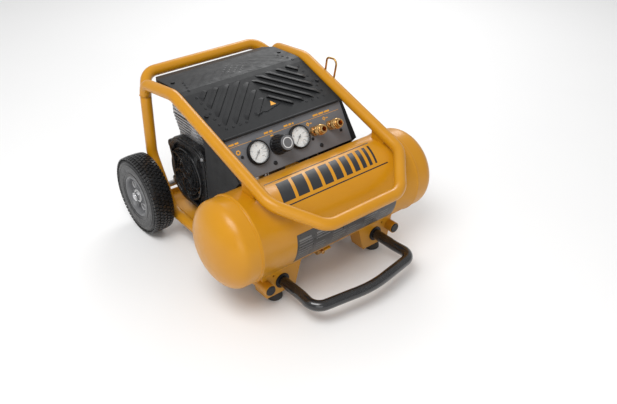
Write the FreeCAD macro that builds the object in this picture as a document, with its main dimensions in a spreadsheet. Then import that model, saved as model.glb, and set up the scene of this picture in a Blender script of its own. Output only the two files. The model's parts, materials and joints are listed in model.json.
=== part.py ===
"""Portable wheeled air compressor: tank, roll cage, pump and motor, shroud, control panel, wheels, handle.

Millimetres. X runs across the machine (+X is the right side), Y from front (-Y, the tank and the pull
handle) to back (+Y, the wheels), Z up from the floor. The origin is on the floor under the middle.
"""
import FreeCAD, Part
import math
import os
import Sketcher

Vector = FreeCAD.Vector
Rotation = FreeCAD.Rotation

os.makedirs("parts", exist_ok=True)
doc = FreeCAD.newDocument("air_compressor")
sheet = doc.addObject("Spreadsheet::Sheet", "Sizes")
nodes = []


# ---------------------------------------------------------------- sizes and expressions

class Size:
    """A dimension that knows its spreadsheet expression and its value."""

    def __init__(self, text, value):
        self.text = text
        self.value = value

    def __add__(self, other):
        other = size(other)
        return Size(f"({self.text} + {other.text})", self.value + other.value)

    def __sub__(self, other):
        other = size(other)
        return Size(f"({self.text} - {other.text})", self.value - other.value)

    def __mul__(self, other):
        other = size(other)
        return Size(f"({self.text} * {other.text})", self.value * other.value)

    def __truediv__(self, other):
        other = size(other)
        return Size(f"({self.text} / {other.text})", self.value / other.value)

    def __radd__(self, other):
        return size(other) + self

    def __rsub__(self, other):
        return size(other) - self

    def __rmul__(self, other):
        return size(other) * self

    def __neg__(self):
        return size(0) - self


def size(number):
    """A plain number as a Size; a Size is given back as it is."""
    if isinstance(number, Size):
        return number
    return Size(repr(number), number)


def cosine(angle):
    return Size(f"cos({angle.text} * 1deg)", math.cos(math.radians(angle.value)))


def sine(angle):
    return Size(f"sin({angle.text} * 1deg)", math.sin(math.radians(angle.value)))


def cell(alias, value):
    """Put one driving dimension in the sheet and give it back as a Size."""
    cell.row += 1
    sheet.set(f"A{cell.row}", alias)
    sheet.set(f"B{cell.row}", str(value))
    sheet.setAlias(f"B{cell.row}", alias)
    return Size(f"Sizes.{alias}", value)


cell.row = 0

# Tank: a rolled shell closed by two pressed heads.
tank_radius = cell("tank_radius", 100.0)
tank_half_length = cell("tank_half_length", 304.8)
tank_wall = cell("tank_wall", 3.0)
tank_head_depth = cell("tank_head_depth", 49.0)
tank_seam_x = cell("tank_seam_x", 229.0)
tank_y = cell("tank_axis_y", -147.6)
tank_z = cell("tank_axis_z", 177.7)

# Roll cage of bent tube, and the sheet-metal parts that tie it to the tank.
tube_radius = cell("tube_radius", 13.7)
tube_wall = cell("tube_wall", 2.3)
rail_x = cell("rail_x", 190.1)
rail_z = cell("rail_height", 59.5)
rail_front_y = cell("rail_front_y", -216.5)
plate_steel = cell("sheet_thickness", 3.0)
bracket_face_y = cell("bracket_face_y", -196.0)
guide_y = cell("guide_centre_y", -115.0)
guide_depth = cell("guide_depth", 20.0)
base_top_z = cell("base_top_height", 72.0)

# Pull handle that slides out towards the front.
handle_radius = cell("handle_tube_radius", 12.5)
handle_wall = cell("handle_tube_wall", 2.0)
handle_x = cell("handle_tube_x", 143.5)
handle_z = cell("handle_height", 53.0)
handle_corner_y = cell("handle_corner_y", -317.0)
handle_bow = cell("handle_bow", 23.2)
handle_travel = cell("handle_travel", 277.0)
slide_gap = cell("sliding_gap", 0.06)

# Wheels and axle.
wheel_radius = cell("wheel_radius", 103.0)
wheel_width = cell("wheel_width", 57.0)
wheel_outer_x = cell("wheel_outer_x", 265.7)
axle_radius = cell("axle_radius", 7.9)
axle_y = cell("axle_y", 252.6)

# Shroud and control panel.
shroud_half = cell("shroud_half_width", 172.0)
shroud_skin = cell("shroud_skin", 3.0)
panel_lean = cell("panel_lean", 30.0)
panel_top_y = cell("panel_top_y", -24.0)
panel_top_z = cell("panel_top_height", 342.0)
panel_half = cell("panel_half_width", 168.5)
panel_drop = cell("panel_drop", 101.0)
panel_sheet = cell("panel_sheet", 2.0)

# Pump and motor share one shaft that runs across the machine.
pump_y = cell("shaft_y", 150.0)
pump_z = cell("shaft_height", 180.0)
shaft_radius = cell("shaft_radius", 8.0)
bore_radius = cell("cylinder_bore_radius", 33.0)
stroke = cell("piston_stroke", 16.0)
cylinder_x = cell("cylinder_x", -100.0)
barrel_height = cell("barrel_height", 71.5)
motor_radius = cell("motor_radius", 64.0)
fan_cover_x = cell("fan_cover_face_x", -168.0)
fin_half_width = cell("fin_half_width", 42.0)
case_deck_height = cell("crankcase_deck_height", 60.0)

# Control panel fittings, measured in the plane of the panel: across, and down from its top edge.
gauge_radius = cell("gauge_radius", 28.0)
gauge_left_x = cell("gauge_left_x", -94.0)
gauge_right_x = cell("gauge_right_x", 23.0)
gauge_drop = cell("gauge_drop", 50.0)
knob_radius = cell("knob_radius", 23.0)
knob_length = cell("knob_length", 43.0)
knob_x = cell("knob_x", -36.5)
coupler_left_x = cell("coupler_left_x", 69.0)
coupler_right_x = cell("coupler_right_x", 118.5)
coupler_socket_radius = cell("coupler_socket_radius", 6.0)
coupler_length = cell("coupler_length", 44.0)

SIDES = (("left", -1), ("right", 1))

# Corners and bend radii of the cage tubes on the left side; each path is mirrored to the right.
HOOP_X = 193.5
REAR_HOOP = ((-rail_x.value, rail_front_y.value, rail_z.value), (-rail_x.value, 203.0, rail_z.value),
             (-192.0, 275.8, 193.8), (-HOOP_X, 265.5, 358.0), (-162.0, 312.0, 391.0))
REAR_BENDS = (55.0, 60.0, 35.0, 42.0)
FRONT_LOOP = ((-HOOP_X, 268.0, 345.0), (-HOOP_X, 259.5, 386.9), (-188.6, 133.7, 399.9),
              (-185.2, -217.1, 282.0), (-104.0, -303.7, 240.7))
FRONT_BENDS = (26.0, 60.0, 60.0, 48.0)
LEG_KNEE_Z = 357.0
SADDLE_X = 186.5
AXLE_PLATE_X = 192.0

# The shroud's outer side profile, front foot of the slope to the rear lip, and its two cut rear corners.
SLOPE_FOOT = (-26.0, 345.0)
SLOPE_HEAD = (118.0, 397.0)
SHROUD_TOP = ((272.0, 391.5), (240.0, 398.5), (150.0, 402.5), (134.0, 401.5))
SHROUD_CORNER = ((153.0, 284.0), (175.0, 232.0))
SLOPE_ANGLE = math.degrees(math.atan2(SLOPE_HEAD[1] - SLOPE_FOOT[1], SLOPE_HEAD[0] - SLOPE_FOOT[0]))

# Air slots on each half of the slope: the field (across from, to, up from, to), spacing and width.
SLOT_COUNT = 7
SLOT_FIELD = (5.0, 137.0, 31.0, 150.0)
SLOT_FIRST = 82.5
SLOT_STEP = 30.3
SLOT_WIDTH = 5.0

# Switch lever and cord gland in the right cheek of the shroud.
LEVER_Y = 20.0
LEVER_Z = 262.0
GLAND_Z = 165.0


# ---------------------------------------------------------------- building helpers

UP = Rotation()
ALONG_X = Rotation(Vector(0, 1, 0), 90)
ALONG_MINUS_X = Rotation(Vector(0, 1, 0), -90)
ALONG_Y = Rotation(Vector(1, 0, 0), -90)
ALONG_MINUS_Y = Rotation(Vector(1, 0, 0), 90)
DOWN = Rotation(Vector(1, 0, 0), 180)


def bind(item, path, number):
    item.setExpression(path, size(number).text)


def place(item, at, turn=UP):
    """Turn an item about its own origin and bind its position to the sheet."""
    at = [size(number) for number in at]
    item.Placement = FreeCAD.Placement(Vector(*[number.value for number in at]), turn)
    for axis, number in zip("xyz", at):
        bind(item, f"Placement.Base.{axis}", number)
    return item


def cylinder(name, radius, length, at, turn=UP):
    item = doc.addObject("Part::Cylinder", name)
    bind(item, "Radius", radius)
    bind(item, "Height", length)
    return place(item, at, turn)


def cone(name, radius_low, radius_high, length, at, turn=UP):
    item = doc.addObject("Part::Cone", name)
    bind(item, "Radius1", radius_low)
    bind(item, "Radius2", radius_high)
    bind(item, "Height", length)
    return place(item, at, turn)


def box(name, low, high):
    """A box between two corners."""
    item = doc.addObject("Part::Box", name)
    for edge, start, end in zip(("Length", "Width", "Height"), low, high):
        bind(item, edge, size(end) - start)
    return place(item, low)


def prism(name, sides, radius, length, at, turn=UP):
    item = doc.addObject("Part::Prism", name)
    item.Polygon = sides
    bind(item, "Circumradius", radius)
    bind(item, "Height", length)
    return place(item, at, turn)


def fuse(name, items):
    item = doc.addObject("Part::MultiFuse", name)
    item.Shapes = items
    return item


def cut(name, base, tools):
    tool = tools[0] if len(tools) == 1 else fuse(name + "_cutters", tools)
    item = doc.addObject("Part::Cut", name)
    item.Base = base
    item.Tool = tool
    return item


def ring(name, outer, inner, length, at, turn=UP):
    """A tube whose axis starts at the given point."""
    return cut(name, cylinder(name + "_outer", outer, length, at, turn),
               [cylinder(name + "_bore", inner, length, at, turn)])


def group(name, items):
    """Several separate solids kept in one node."""
    item = doc.addObject("Part::Compound", name)
    item.Links = items
    return item


def node(item, label):
    """Name a finished sub-part, which is then written to its own file."""
    item.Label = label
    nodes.append(item)
    return item


def shaped(label, shape):
    """A sub-part whose shape comes from bent paths that no feature draws."""
    item = doc.addObject("Part::Feature", label)
    item.Shape = shape
    item.Placement = FreeCAD.Placement()
    return node(item, label)


def make_body(name, at=(0, 0, 0), turn=UP):
    return place(doc.addObject("PartDesign::Body", name), at, turn)


def make_sketch(body, name, plane, lift=0):
    """A sketch on one of the body's own origin planes, lifted along that plane's normal."""
    sketch = body.newObject("Sketcher::SketchObject", name)
    support = [feature for feature in body.Origin.OriginFeatures if feature.Role == plane][0]
    sketch.AttachmentSupport = [(support, "")]
    sketch.MapMode = "FlatFace"
    bind(sketch, "AttachmentOffset.Base.z", lift)
    return sketch


def hold(sketch, kind, element, point, number):
    """Constrain one coordinate of a sketch point, measured from the sketch's origin."""
    number = size(number)
    index = sketch.addConstraint(Sketcher.Constraint(kind, -1, 1, element, point, number.value))
    sketch.setExpression(f"Constraints[{index}]", number.text)


def polygon(sketch, points):
    """A closed outline through points given as pairs of sizes."""
    spots = [Vector(size(across).value, size(up).value, 0) for across, up in points]
    first = sketch.GeometryCount
    for index, spot in enumerate(spots):
        sketch.addGeometry(Part.LineSegment(spot, spots[(index + 1) % len(spots)]), False)
    for index in range(len(spots)):
        following = first + (index + 1) % len(spots)
        sketch.addConstraint(Sketcher.Constraint("Coincident", first + index, 2, following, 1))
    for index, (across, up) in enumerate(points):
        hold(sketch, "DistanceX", first + index, 1, across)
        hold(sketch, "DistanceY", first + index, 1, up)


def circle(sketch, across, up, radius):
    across, up, radius = size(across), size(up), size(radius)
    centre = Vector(across.value, up.value, 0)
    element = sketch.addGeometry(Part.Circle(centre, Vector(0, 0, 1), radius.value), False)
    hold(sketch, "DistanceX", element, 3, across)
    hold(sketch, "DistanceY", element, 3, up)
    index = sketch.addConstraint(Sketcher.Constraint("Radius", element, radius.value))
    sketch.setExpression(f"Constraints[{index}]", radius.text)


def pad(body, sketch, length, midplane=False, reverse=False):
    feature = body.newObject("PartDesign::Pad", sketch.Name + "_pad")
    feature.Profile = sketch
    bind(feature, "Length", length)
    feature.Midplane = midplane
    feature.Reversed = reverse
    return feature


def pocket(body, sketch, length, midplane=False, reverse=False):
    """Cut into the body, and stop if the cut misses the solid."""
    doc.recompute()
    before = body.Shape.Volume
    feature = body.newObject("PartDesign::Pocket", sketch.Name + "_pocket")
    feature.Profile = sketch
    bind(feature, "Length", length)
    feature.Midplane = midplane
    feature.Reversed = reverse
    doc.recompute()
    if body.Shape.Volume > before - 1.0:
        raise RuntimeError(f"{sketch.Name} cuts nothing")
    return feature


def revolve(body, sketch, axis="H_Axis"):
    """Turn a profile a full circle about one of its sketch's axes."""
    feature = body.newObject("PartDesign::Revolution", sketch.Name + "_turned")
    feature.Profile = sketch
    feature.ReferenceAxis = (sketch, [axis])
    feature.Angle = 360
    return feature


def polar(body, feature, plane_axis, count):
    """Repeat a feature evenly round one of the body's own axes."""
    axis = [part for part in body.Origin.OriginFeatures if part.Role == plane_axis][0]
    pattern = body.newObject("PartDesign::PolarPattern", feature.Name + "_ring")
    pattern.Originals = [feature]
    pattern.Axis = (axis, [""])
    pattern.Angle = 360
    pattern.Occurrences = count
    body.Tip = pattern
    return pattern


def turned(name, profile, at, turn=UP):
    """A body turned about its own Z axis from points given as radius and height."""
    body = make_body(name, at, turn)
    sketch = make_sketch(body, name + "_profile", "XZ_Plane")
    polygon(sketch, profile)
    revolve(body, sketch, "V_Axis")
    return body


def bent_path(corners, radii):
    """Straight runs joined by tangent arcs, one at each inner corner."""
    edges = []
    start = corners[0]
    for before, corner, after, radius in zip(corners, corners[1:], corners[2:], radii):
        inward = (before - corner).normalize()
        onward = (after - corner).normalize()
        half_turn = (math.pi - inward.getAngle(onward)) / 2
        reach = radius * math.tan(half_turn)
        bisector = (inward + onward).normalize()
        middle = corner + bisector * (radius / math.cos(half_turn) - radius)
        edges.append(Part.LineSegment(start, corner + inward * reach).toShape())
        edges.append(Part.Arc(corner + inward * reach, middle, corner + onward * reach).toShape())
        start = corner + onward * reach
    edges.append(Part.LineSegment(start, corners[-1]).toShape())
    return Part.Wire(edges)


def swept_rod(corners, radii, radius):
    """A round rod along a bent path."""
    section = Part.Wire(Part.makeCircle(radius, corners[0], corners[1] - corners[0]))
    return bent_path(corners, radii).makePipeShell([section], True, True)


def swept_tube(corners, radii, radius, wall):
    return swept_rod(corners, radii, radius).cut(swept_rod(corners, radii, radius - wall))


def mirrored_path(corners):
    """Corners on the left side, and the same ones in reverse order on the right."""
    left = [Vector(*corner) for corner in corners]
    right = [Vector(-corner.x, corner.y, corner.z) for corner in reversed(left) if corner.x != 0]
    return left + right


# ---------------------------------------------------------------- tank

def build_tank():
    bead_width, bead_height = 7.0, 2.2
    shell = make_body("TankShell", (0, tank_y, tank_z))
    profile = make_sketch(shell, "TankProfile", "XZ_Plane")
    crown = tank_radius + bead_height
    inside = tank_radius - tank_wall
    polygon(profile, [
        (-tank_seam_x, inside), (tank_seam_x, inside),
        (tank_seam_x, crown - 0.8), (tank_seam_x - bead_width / 3, crown),
        (tank_seam_x - bead_width + 2, crown - 0.8), (tank_seam_x - bead_width, tank_radius),
        (bead_width - tank_seam_x, tank_radius), (bead_width - 2 - tank_seam_x, crown - 0.8),
        (bead_width / 3 - tank_seam_x, crown), (-tank_seam_x, crown - 0.8)])
    revolve(shell, profile)
    node(shell, "tank_shell")
    for side, sign in SIDES:
        turn = ALONG_X if sign > 0 else ALONG_MINUS_X
        skirt = tank_half_length - tank_head_depth - tank_seam_x
        seam = (sign * tank_seam_x, tank_y, tank_z)
        dish_at = (sign * (tank_seam_x + skirt), tank_y, tank_z)
        skins = []
        for skin, inset in (("outer", size(0)), ("inner", tank_wall)):
            dish = doc.addObject("Part::Ellipsoid", f"head_{side}_{skin}_dish")
            bind(dish, "Radius1", tank_head_depth - inset)
            bind(dish, "Radius2", tank_radius - inset)
            dish.Angle1 = 0
            place(dish, dish_at, turn)
            straight = cylinder(f"head_{side}_{skin}_skirt", tank_radius - inset, skirt, seam, turn)
            skins.append(fuse(f"head_{side}_{skin}", [straight, dish]))
        node(cut(f"head_{side}", skins[0], [skins[1]]), f"tank_head_{side}")


# ---------------------------------------------------------------- roll cage

def build_roll_cage():
    """The rear hoop carries on as the base rails; the front loop is coped to its legs."""
    radius, wall = tube_radius.value, tube_wall.value
    rear_path = mirrored_path(REAR_HOOP)
    rear_bends = REAR_BENDS + REAR_BENDS[::-1]
    front_path = mirrored_path(FRONT_LOOP)
    front_bends = FRONT_BENDS + FRONT_BENDS[::-1]
    rear_rod = swept_rod(rear_path, rear_bends, radius)
    shaped("roll_bar_rear", swept_tube(rear_path, rear_bends, radius, wall))
    front = swept_tube(front_path, front_bends, radius, wall).cut(rear_rod)
    for corner in (front_path[0], front_path[-1]):
        below_knee = Part.makeCylinder(radius + 4, LEG_KNEE_Z - corner.z + 20, corner - Vector(0, -2, 20))
        front = front.cut(below_knee)
    shaped("roll_bar_front", front)
    plugs = []
    for side, sign in SIDES:
        end = (sign * rail_x, rail_front_y, rail_z)
        stem = cylinder(f"plug_stem_{side}", tube_radius - tube_wall - 0.1, 16, end, ALONG_Y)
        head = cone(f"plug_head_{side}", tube_radius - 1.2, tube_radius - 3, 2.5, end, ALONG_MINUS_Y)
        plugs.append(fuse(f"plug_{side}", [stem, head]))
    node(group("RailPlugs", plugs), "rail_plugs")


def cage_rod(name, corners, bends):
    """The outside of a cage tube as a solid rod, for coping whatever is welded to it."""
    item = doc.addObject("Part::Feature", name)
    item.Shape = swept_rod(mirrored_path(corners), bends + bends[::-1], tube_radius.value)
    return item


def rail_cutter(name, sign):
    """The straight length of base rail, for coping whatever is welded to it."""
    return cylinder(name, tube_radius, 430, (sign * rail_x, rail_front_y - 5, rail_z), ALONG_Y)


def tank_cutter(name):
    return cylinder(name, tank_radius, 2 * tank_seam_x, (-tank_seam_x, tank_y, tank_z), ALONG_X)


def build_front_brackets():
    """Folded boxes under the tank with the handle holes, and the saddles that carry the front loop."""
    depth = size(42)
    brackets = []
    for side, sign in SIDES:
        body = make_body(f"Bracket_{side}")
        face = make_sketch(body, f"bracket_{side}_face", "XZ_Plane", -bracket_face_y)
        polygon(face, [(sign * 84, 100), (sign * 106, 21), (sign * 187.5, 21), (sign * 201, 100)])
        pad(body, face, depth, reverse=True)
        hollow = make_sketch(body, f"bracket_{side}_hollow", "XZ_Plane", -(bracket_face_y + plate_steel))
        polygon(hollow, [(sign * 87.4, 101), (sign * 108.4, 24), (sign * 185, 24), (sign * 198, 101)])
        pocket(body, hollow, depth, reverse=False)
        hole = cylinder(f"bracket_{side}_handle_hole", 16, 12,
                        (sign * handle_x, bracket_face_y - 4, handle_z), ALONG_Y)
        mark = prism(f"bracket_{side}_notch", 3, 4, 12,
                     (sign * 166, bracket_face_y + 8, handle_z + 22), ALONG_MINUS_Y)
        tools = [tank_cutter(f"bracket_{side}_tank"), rail_cutter(f"bracket_{side}_rail", sign), hole, mark]
        brackets.append(cut(f"bracket_{side}_trimmed", body, tools))
    loop = cage_rod("saddle_loop_cutter", FRONT_LOOP, FRONT_BENDS)
    for side, sign in SIDES:
        saddle = box(f"saddle_{side}", (sign * SADDLE_X - 7, tank_y - 22, tank_z + 84),
                     (sign * SADDLE_X + 7, tank_y + 18, tank_z + 128))
        tools = [tank_cutter(f"saddle_{side}_tank"), loop]
        brackets.append(cut(f"saddle_{side}_coped", saddle, tools))
    node(group("Brackets", brackets), "front_brackets")


def build_feet():
    feet = []
    for side, sign in SIDES:
        profile = [(0, 3), (6, 3), (8, 0), (18, 0), (19, 1.5), (19, 5), (16.5, 21), (0, 21)]
        feet.append(turned(f"foot_{side}", profile, (sign * 152.8, bracket_face_y + 19, 0)))
    node(group("Feet", feet), "rubber_feet")


def build_handle_guides():
    """A channel between the rails, and four plastic bushes that the handle tubes slide in."""
    low, top = 36, 70
    back = guide_y + guide_depth / 2
    front = guide_y - guide_depth / 2
    outer = box("guide_block", (-rail_x, front, low), (rail_x, back, top))
    inner = box("guide_hollow", (-rail_x, front - 1, low + plate_steel), (rail_x, back - plate_steel, 67))
    tools = [inner]
    for side, sign in SIDES:
        tools.append(rail_cutter(f"guide_{side}_rail", sign))
        hole_at = (sign * handle_x, guide_y - 20, handle_z)
        tools.append(cylinder(f"guide_{side}_hole", 16, 40, hole_at, ALONG_Y))
    node(cut("Guide", outer, tools), "handle_guide_channel")
    walls = (("front", bracket_face_y, True), ("rear", back - plate_steel, False))
    bushes = []
    for side, sign in SIDES:
        for place_name, wall_y, flanged_inside in walls:
            name = f"bush_{side}_{place_name}"
            bore = handle_radius + slide_gap
            flange = 2.5
            profile = [(15.9, 0), (15.9, plate_steel), (18.5, plate_steel), (18.5, plate_steel + flange),
                       (bore, plate_steel + flange)]
            if flanged_inside:
                profile += [(bore, -flange), (18.5, -flange), (18.5, 0)]
            else:
                profile.append((bore, 0))
            bushes.append(turned(name, profile, (sign * handle_x, wall_y, handle_z), ALONG_Y))
    node(group("Bushes", bushes), "handle_bushes")


def build_base_plate():
    """The pump platform: a tray welded between the rails."""
    front, back, lip = -30, 256, 12
    low = base_top_z - plate_steel
    outer = box("base_block", (-182, front, low), (182, back, base_top_z + lip))
    hollow = box("base_hollow", (-183, front + plate_steel, base_top_z), (183, back - plate_steel, 100))
    rails = cage_rod("base_rail_cutter", REAR_HOOP, REAR_BENDS)
    node(cut("BasePlate", outer, [hollow, rails]), "pump_base_plate")


# ---------------------------------------------------------------- pull handle

def build_pull_handle():
    rear_y = guide_y.value + guide_depth.value / 2 + 3.0 + handle_travel.value
    height = handle_z.value
    across = handle_x.value
    corner_y = handle_corner_y.value
    flare = 5.0
    path = mirrored_path([(-across, rear_y, height), (-across, corner_y + 52, height),
                          (-across - flare, corner_y, height), (0, corner_y - handle_bow.value, height)])
    bends = (90.0, 30.0, 260.0, 30.0, 90.0)
    shaped("pull_handle", swept_tube(path, bends, handle_radius.value, handle_wall.value))
    stops = []
    for side, sign in SIDES:
        end = (sign * handle_x, guide_y + guide_depth / 2 + 3 + handle_travel, handle_z)
        stem = cylinder(f"stop_stem_{side}", handle_radius - handle_wall - 0.1, 20, end, ALONG_MINUS_Y)
        head = cylinder(f"stop_head_{side}", 14.6, 6, end, ALONG_Y)
        stops.append(fuse(f"stop_{side}", [stem, head]))
    node(group("HandleStops", stops), "handle_end_stops")


# ---------------------------------------------------------------- wheels

def build_axle():
    half = wheel_outer_x + 2
    node(cylinder("Axle", axle_radius, 2 * half, (-half, axle_y, wheel_radius), ALONG_X), "axle")
    leg = cage_rod("axle_leg_cutter", REAR_HOOP, REAR_BENDS)
    plate, eye_radius = 6, 21
    plates = []
    nuts = []
    for side, sign in SIDES:
        name = f"axle_plate_{side}"
        inner = sign * AXLE_PLATE_X - plate / 2
        eye = cylinder(name + "_eye", eye_radius, plate, (inner, axle_y, wheel_radius), ALONG_X)
        web = box(name + "_web", (inner, 230, 84), (inner + plate, axle_y, wheel_radius + eye_radius))
        hole = cylinder(name + "_hole", axle_radius, 2 * plate, (inner - 3, axle_y, wheel_radius), ALONG_X)
        plates.append(cut(name, fuse(name + "_blank", [eye, web]), [hole, leg]))
        turn = ALONG_X if sign > 0 else ALONG_MINUS_X
        washer = ring(f"washer_{side}", 13, axle_radius, 1.6, (sign * 258.4, axle_y, wheel_radius), turn)
        nut = prism(f"nut_{side}", 6, 12.5, 5.5, (sign * 260, axle_y, wheel_radius), turn)
        bore = cylinder(f"nut_{side}_bore", axle_radius, 20, (sign * 255, axle_y, wheel_radius), turn)
        nuts.append(fuse(f"nut_set_{side}", [washer, cut(f"nut_{side}_bored", nut, [bore])]))
    node(group("AxlePlates", plates), "axle_plates")
    node(group("AxleNuts", nuts), "axle_nuts")


def build_wheel(side, sign):
    """Turned about the axle: a solid tyre on a dished plastic rim with a long hub."""
    turn = ALONG_X if sign > 0 else ALONG_MINUS_X
    inner_x = wheel_outer_x - wheel_width
    at = (sign * inner_x, axle_y, wheel_radius)
    seat = 53.0
    width = wheel_width
    tyre = [(seat, 3), (seat + 6, 1), (seat + 22, 0), (wheel_radius - 9, 3), (wheel_radius - 2.5, 9),
            (wheel_radius, 17), (wheel_radius, width - 17), (wheel_radius - 2.5, width - 9),
            (wheel_radius - 9, width - 3), (seat + 22, width), (seat + 6, width - 1), (seat, width - 3)]
    node(turned(f"Tyre_{side}", tyre, at, turn), f"tyre_{side}")
    bore = axle_radius + slide_gap
    hub_in, hub_out = -1, width - 8
    web_in, web_out = width - 21, width - 16
    profile = [(bore, hub_in), (15, hub_in), (18, web_in), (seat - 6, web_in), (seat - 6, 4), (seat, 3),
               (seat, width - 3), (seat - 4, width - 2.5), (seat - 7, width - 6), (seat - 10, web_out),
               (20, web_out + 2), (16.5, hub_out), (bore, hub_out)]
    rim = turned(f"Rim_{side}", profile, at, turn)
    window = make_sketch(rim, f"rim_{side}_window", "XY_Plane", web_in - 2)
    circle(window, 32, 0, 8)
    opening = pocket(rim, window, 14, reverse=True)
    polar(rim, opening, "Z_Axis", 5)
    node(rim, f"rim_{side}")


# ---------------------------------------------------------------- pump and motor

def build_crankcase():
    at_left = (cylinder_x - 30, pump_y, pump_z)
    drum = cylinder("case_drum", 58, 74, at_left, ALONG_X)
    deck_z = pump_z + case_deck_height
    foot = box("case_foot", (cylinder_x - 26, pump_y - 55, base_top_z),
               (cylinder_x + 26, pump_y + 55, pump_z - 20))
    deck = box("case_deck", (cylinder_x - 30, pump_y - 44, pump_z),
               (cylinder_x + 30, pump_y + 44, deck_z))
    chamber = cylinder("case_chamber", 48, 42, (cylinder_x - 20, pump_y, pump_z), ALONG_X)
    neck = cylinder("case_neck", bore_radius, 60, (cylinder_x, pump_y, pump_z + 5))
    shaft_hole = cylinder("case_shaft_hole", 16.1, 90, (cylinder_x - 34, pump_y, pump_z), ALONG_X)
    blank = fuse("case_blank", [drum, foot, deck])
    node(cut("Crankcase", blank, [chamber, neck, shaft_hole]), "crankcase")
    bearings = []
    for index, offset in enumerate((-30, 22, 212)):
        at = (cylinder_x + offset, pump_y, pump_z)
        bearings.append(ring(f"bearing_{index}", 16, shaft_radius + slide_gap, 8, at, ALONG_X))
    node(group("Bearings", bearings), "shaft_bearings")


def build_cylinder():
    """Barrel on a thick flange, with fins that reach further back one by one towards the head."""
    low = pump_z + case_deck_height
    left, right = cylinder_x - fin_half_width, cylinder_x + fin_half_width
    count, pitch, thickness = 7, 7.4, 2.6
    flange = 13
    barrel = cylinder("barrel_core", bore_radius + 6, barrel_height, (cylinder_x, pump_y, low))
    foot = box("barrel_flange", (left, pump_y - 56, low), (right, pump_y + 78, low + flange))
    pieces = [barrel, foot]
    for index in range(count):
        reach = 78 + 3 * index
        height = low + flange + 4 + pitch * index
        pieces.append(box(f"fin_{index}", (left, pump_y - 66, height),
                          (right, pump_y + reach, height + thickness)))
    bore = cylinder("barrel_bore", bore_radius, 90, (cylinder_x, pump_y, low - 2))
    node(cut("Barrel", fuse("barrel_blank", pieces), [bore]), "cylinder")
    head_low = low + barrel_height
    block = box("head_block", (left, pump_y - 80, head_low), (right, pump_y + 95, head_low + 16))
    ribs = [block]
    for index in range(7):
        across = cylinder_x - 37.5 + 12 * index
        ribs.append(box(f"head_rib_{index}", (across, pump_y - 76, head_low + 16),
                        (across + 3, pump_y + 91, head_low + 24)))
    node(fuse("Head", ribs), "cylinder_head")
    bolts = []
    for index, (across, along) in enumerate(((-31.5, -60), (-31.5, 60), (28.5, -60), (28.5, 60))):
        bolts.append(prism(f"head_bolt_{index}", 6, 4.4, 7,
                           (cylinder_x + across + 1.5, pump_y + along, head_low + 16)))
    node(group("HeadBolts", bolts), "head_bolts")
    case = cylinder("filter_case", 17, 30, (right, pump_y + 62, head_low + 8), ALONG_X)
    cap = cylinder("filter_cap", 19, 8, (cylinder_x + 72, pump_y + 62, head_low + 8), ALONG_X)
    node(fuse("Filter", [case, cap]), "intake_filter")


def build_piston():
    """Piston and rod move as one; the big eye clears the crank pin, where the linkage is open."""
    crown_low = pump_z + 82
    disc = cylinder("piston_disc", bore_radius - 0.4, 12, (cylinder_x, pump_y, crown_low))
    node(disc, "piston")
    eye = cylinder("rod_eye", 31, 12, (cylinder_x - 6, pump_y, pump_z), ALONG_X)
    shank = box("rod_shank", (cylinder_x - 6, pump_y - 9, pump_z + 25),
                (cylinder_x + 6, pump_y + 9, crown_low))
    hole = cylinder("rod_hole", 25, 20, (cylinder_x - 10, pump_y, pump_z), ALONG_X)
    node(cut("Rod", fuse("rod_blank", [eye, shank]), [hole]), "connecting_rod")


def build_shaft():
    """Crankshaft and motor shaft in one, with the crank pin at the top of its turn."""
    throw = stroke / 2
    left_end = (fan_cover_x + 8, pump_y, pump_z)
    right_start = (cylinder_x + 9, pump_y, pump_z)
    left = cylinder("shaft_left", shaft_radius, cylinder_x - 9 - left_end[0], left_end, ALONG_X)
    right = cylinder("shaft_right", shaft_radius, 128 - right_start[0], right_start, ALONG_X)
    pin = cylinder("crank_pin", 6, 20, (cylinder_x - 10, pump_y, pump_z + throw), ALONG_X)
    webs = [cylinder(f"crank_web_{index}", 17, 5, (cylinder_x + offset, pump_y, pump_z), ALONG_X)
            for index, offset in enumerate((-13, 8))]
    node(fuse("Shaft", [left, right, pin] + webs), "crankshaft")


def build_motor():
    start, end = -55, 120
    inside = motor_radius - 3
    shell = ring("motor_tube", motor_radius, inside, end - start, (start, pump_y, pump_z), ALONG_X)
    bell = ring("motor_bell", inside, 16.1, 5, (end - 5, pump_y, pump_z), ALONG_X)
    cradles = [box(f"motor_foot_{index}", (across, pump_y - 45, base_top_z),
                   (across + 25, pump_y + 45, pump_z - 40)) for index, across in enumerate((-45, 75))]
    hollow = cylinder("motor_hollow", inside, end - start - 5, (start, pump_y, pump_z), ALONG_X)
    feet = cut("motor_feet", fuse("motor_feet_blank", cradles), [hollow])
    node(fuse("MotorHousing", [shell, bell, feet]), "motor_housing")
    node(ring("Stator", motor_radius - 3.1, 41, 100, (-20, pump_y, pump_z), ALONG_X), "motor_stator")
    node(ring("RotorCore", 40, shaft_radius, 90, (-15, pump_y, pump_z), ALONG_X), "motor_rotor")


def build_fan():
    """Seven-bladed plastic fan pressed on the left end of the shaft."""
    body = make_body("Fan", (fan_cover_x + 8, pump_y, pump_z))
    hub = make_sketch(body, "fan_hub", "YZ_Plane")
    circle(hub, 0, 0, 16)
    pad(body, hub, 12)
    blade = make_sketch(body, "fan_blade", "YZ_Plane", 2)
    polygon(blade, [(10, -6), (76, -20), (78, 4), (74, 16), (10, 6)])
    polar(body, pad(body, blade, 3), "X_Axis", 7)
    eye = cylinder("fan_eye", shaft_radius, 40, (fan_cover_x, pump_y, pump_z), ALONG_X)
    node(cut("FanBored", body, [eye]), "cooling_fan")


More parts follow.
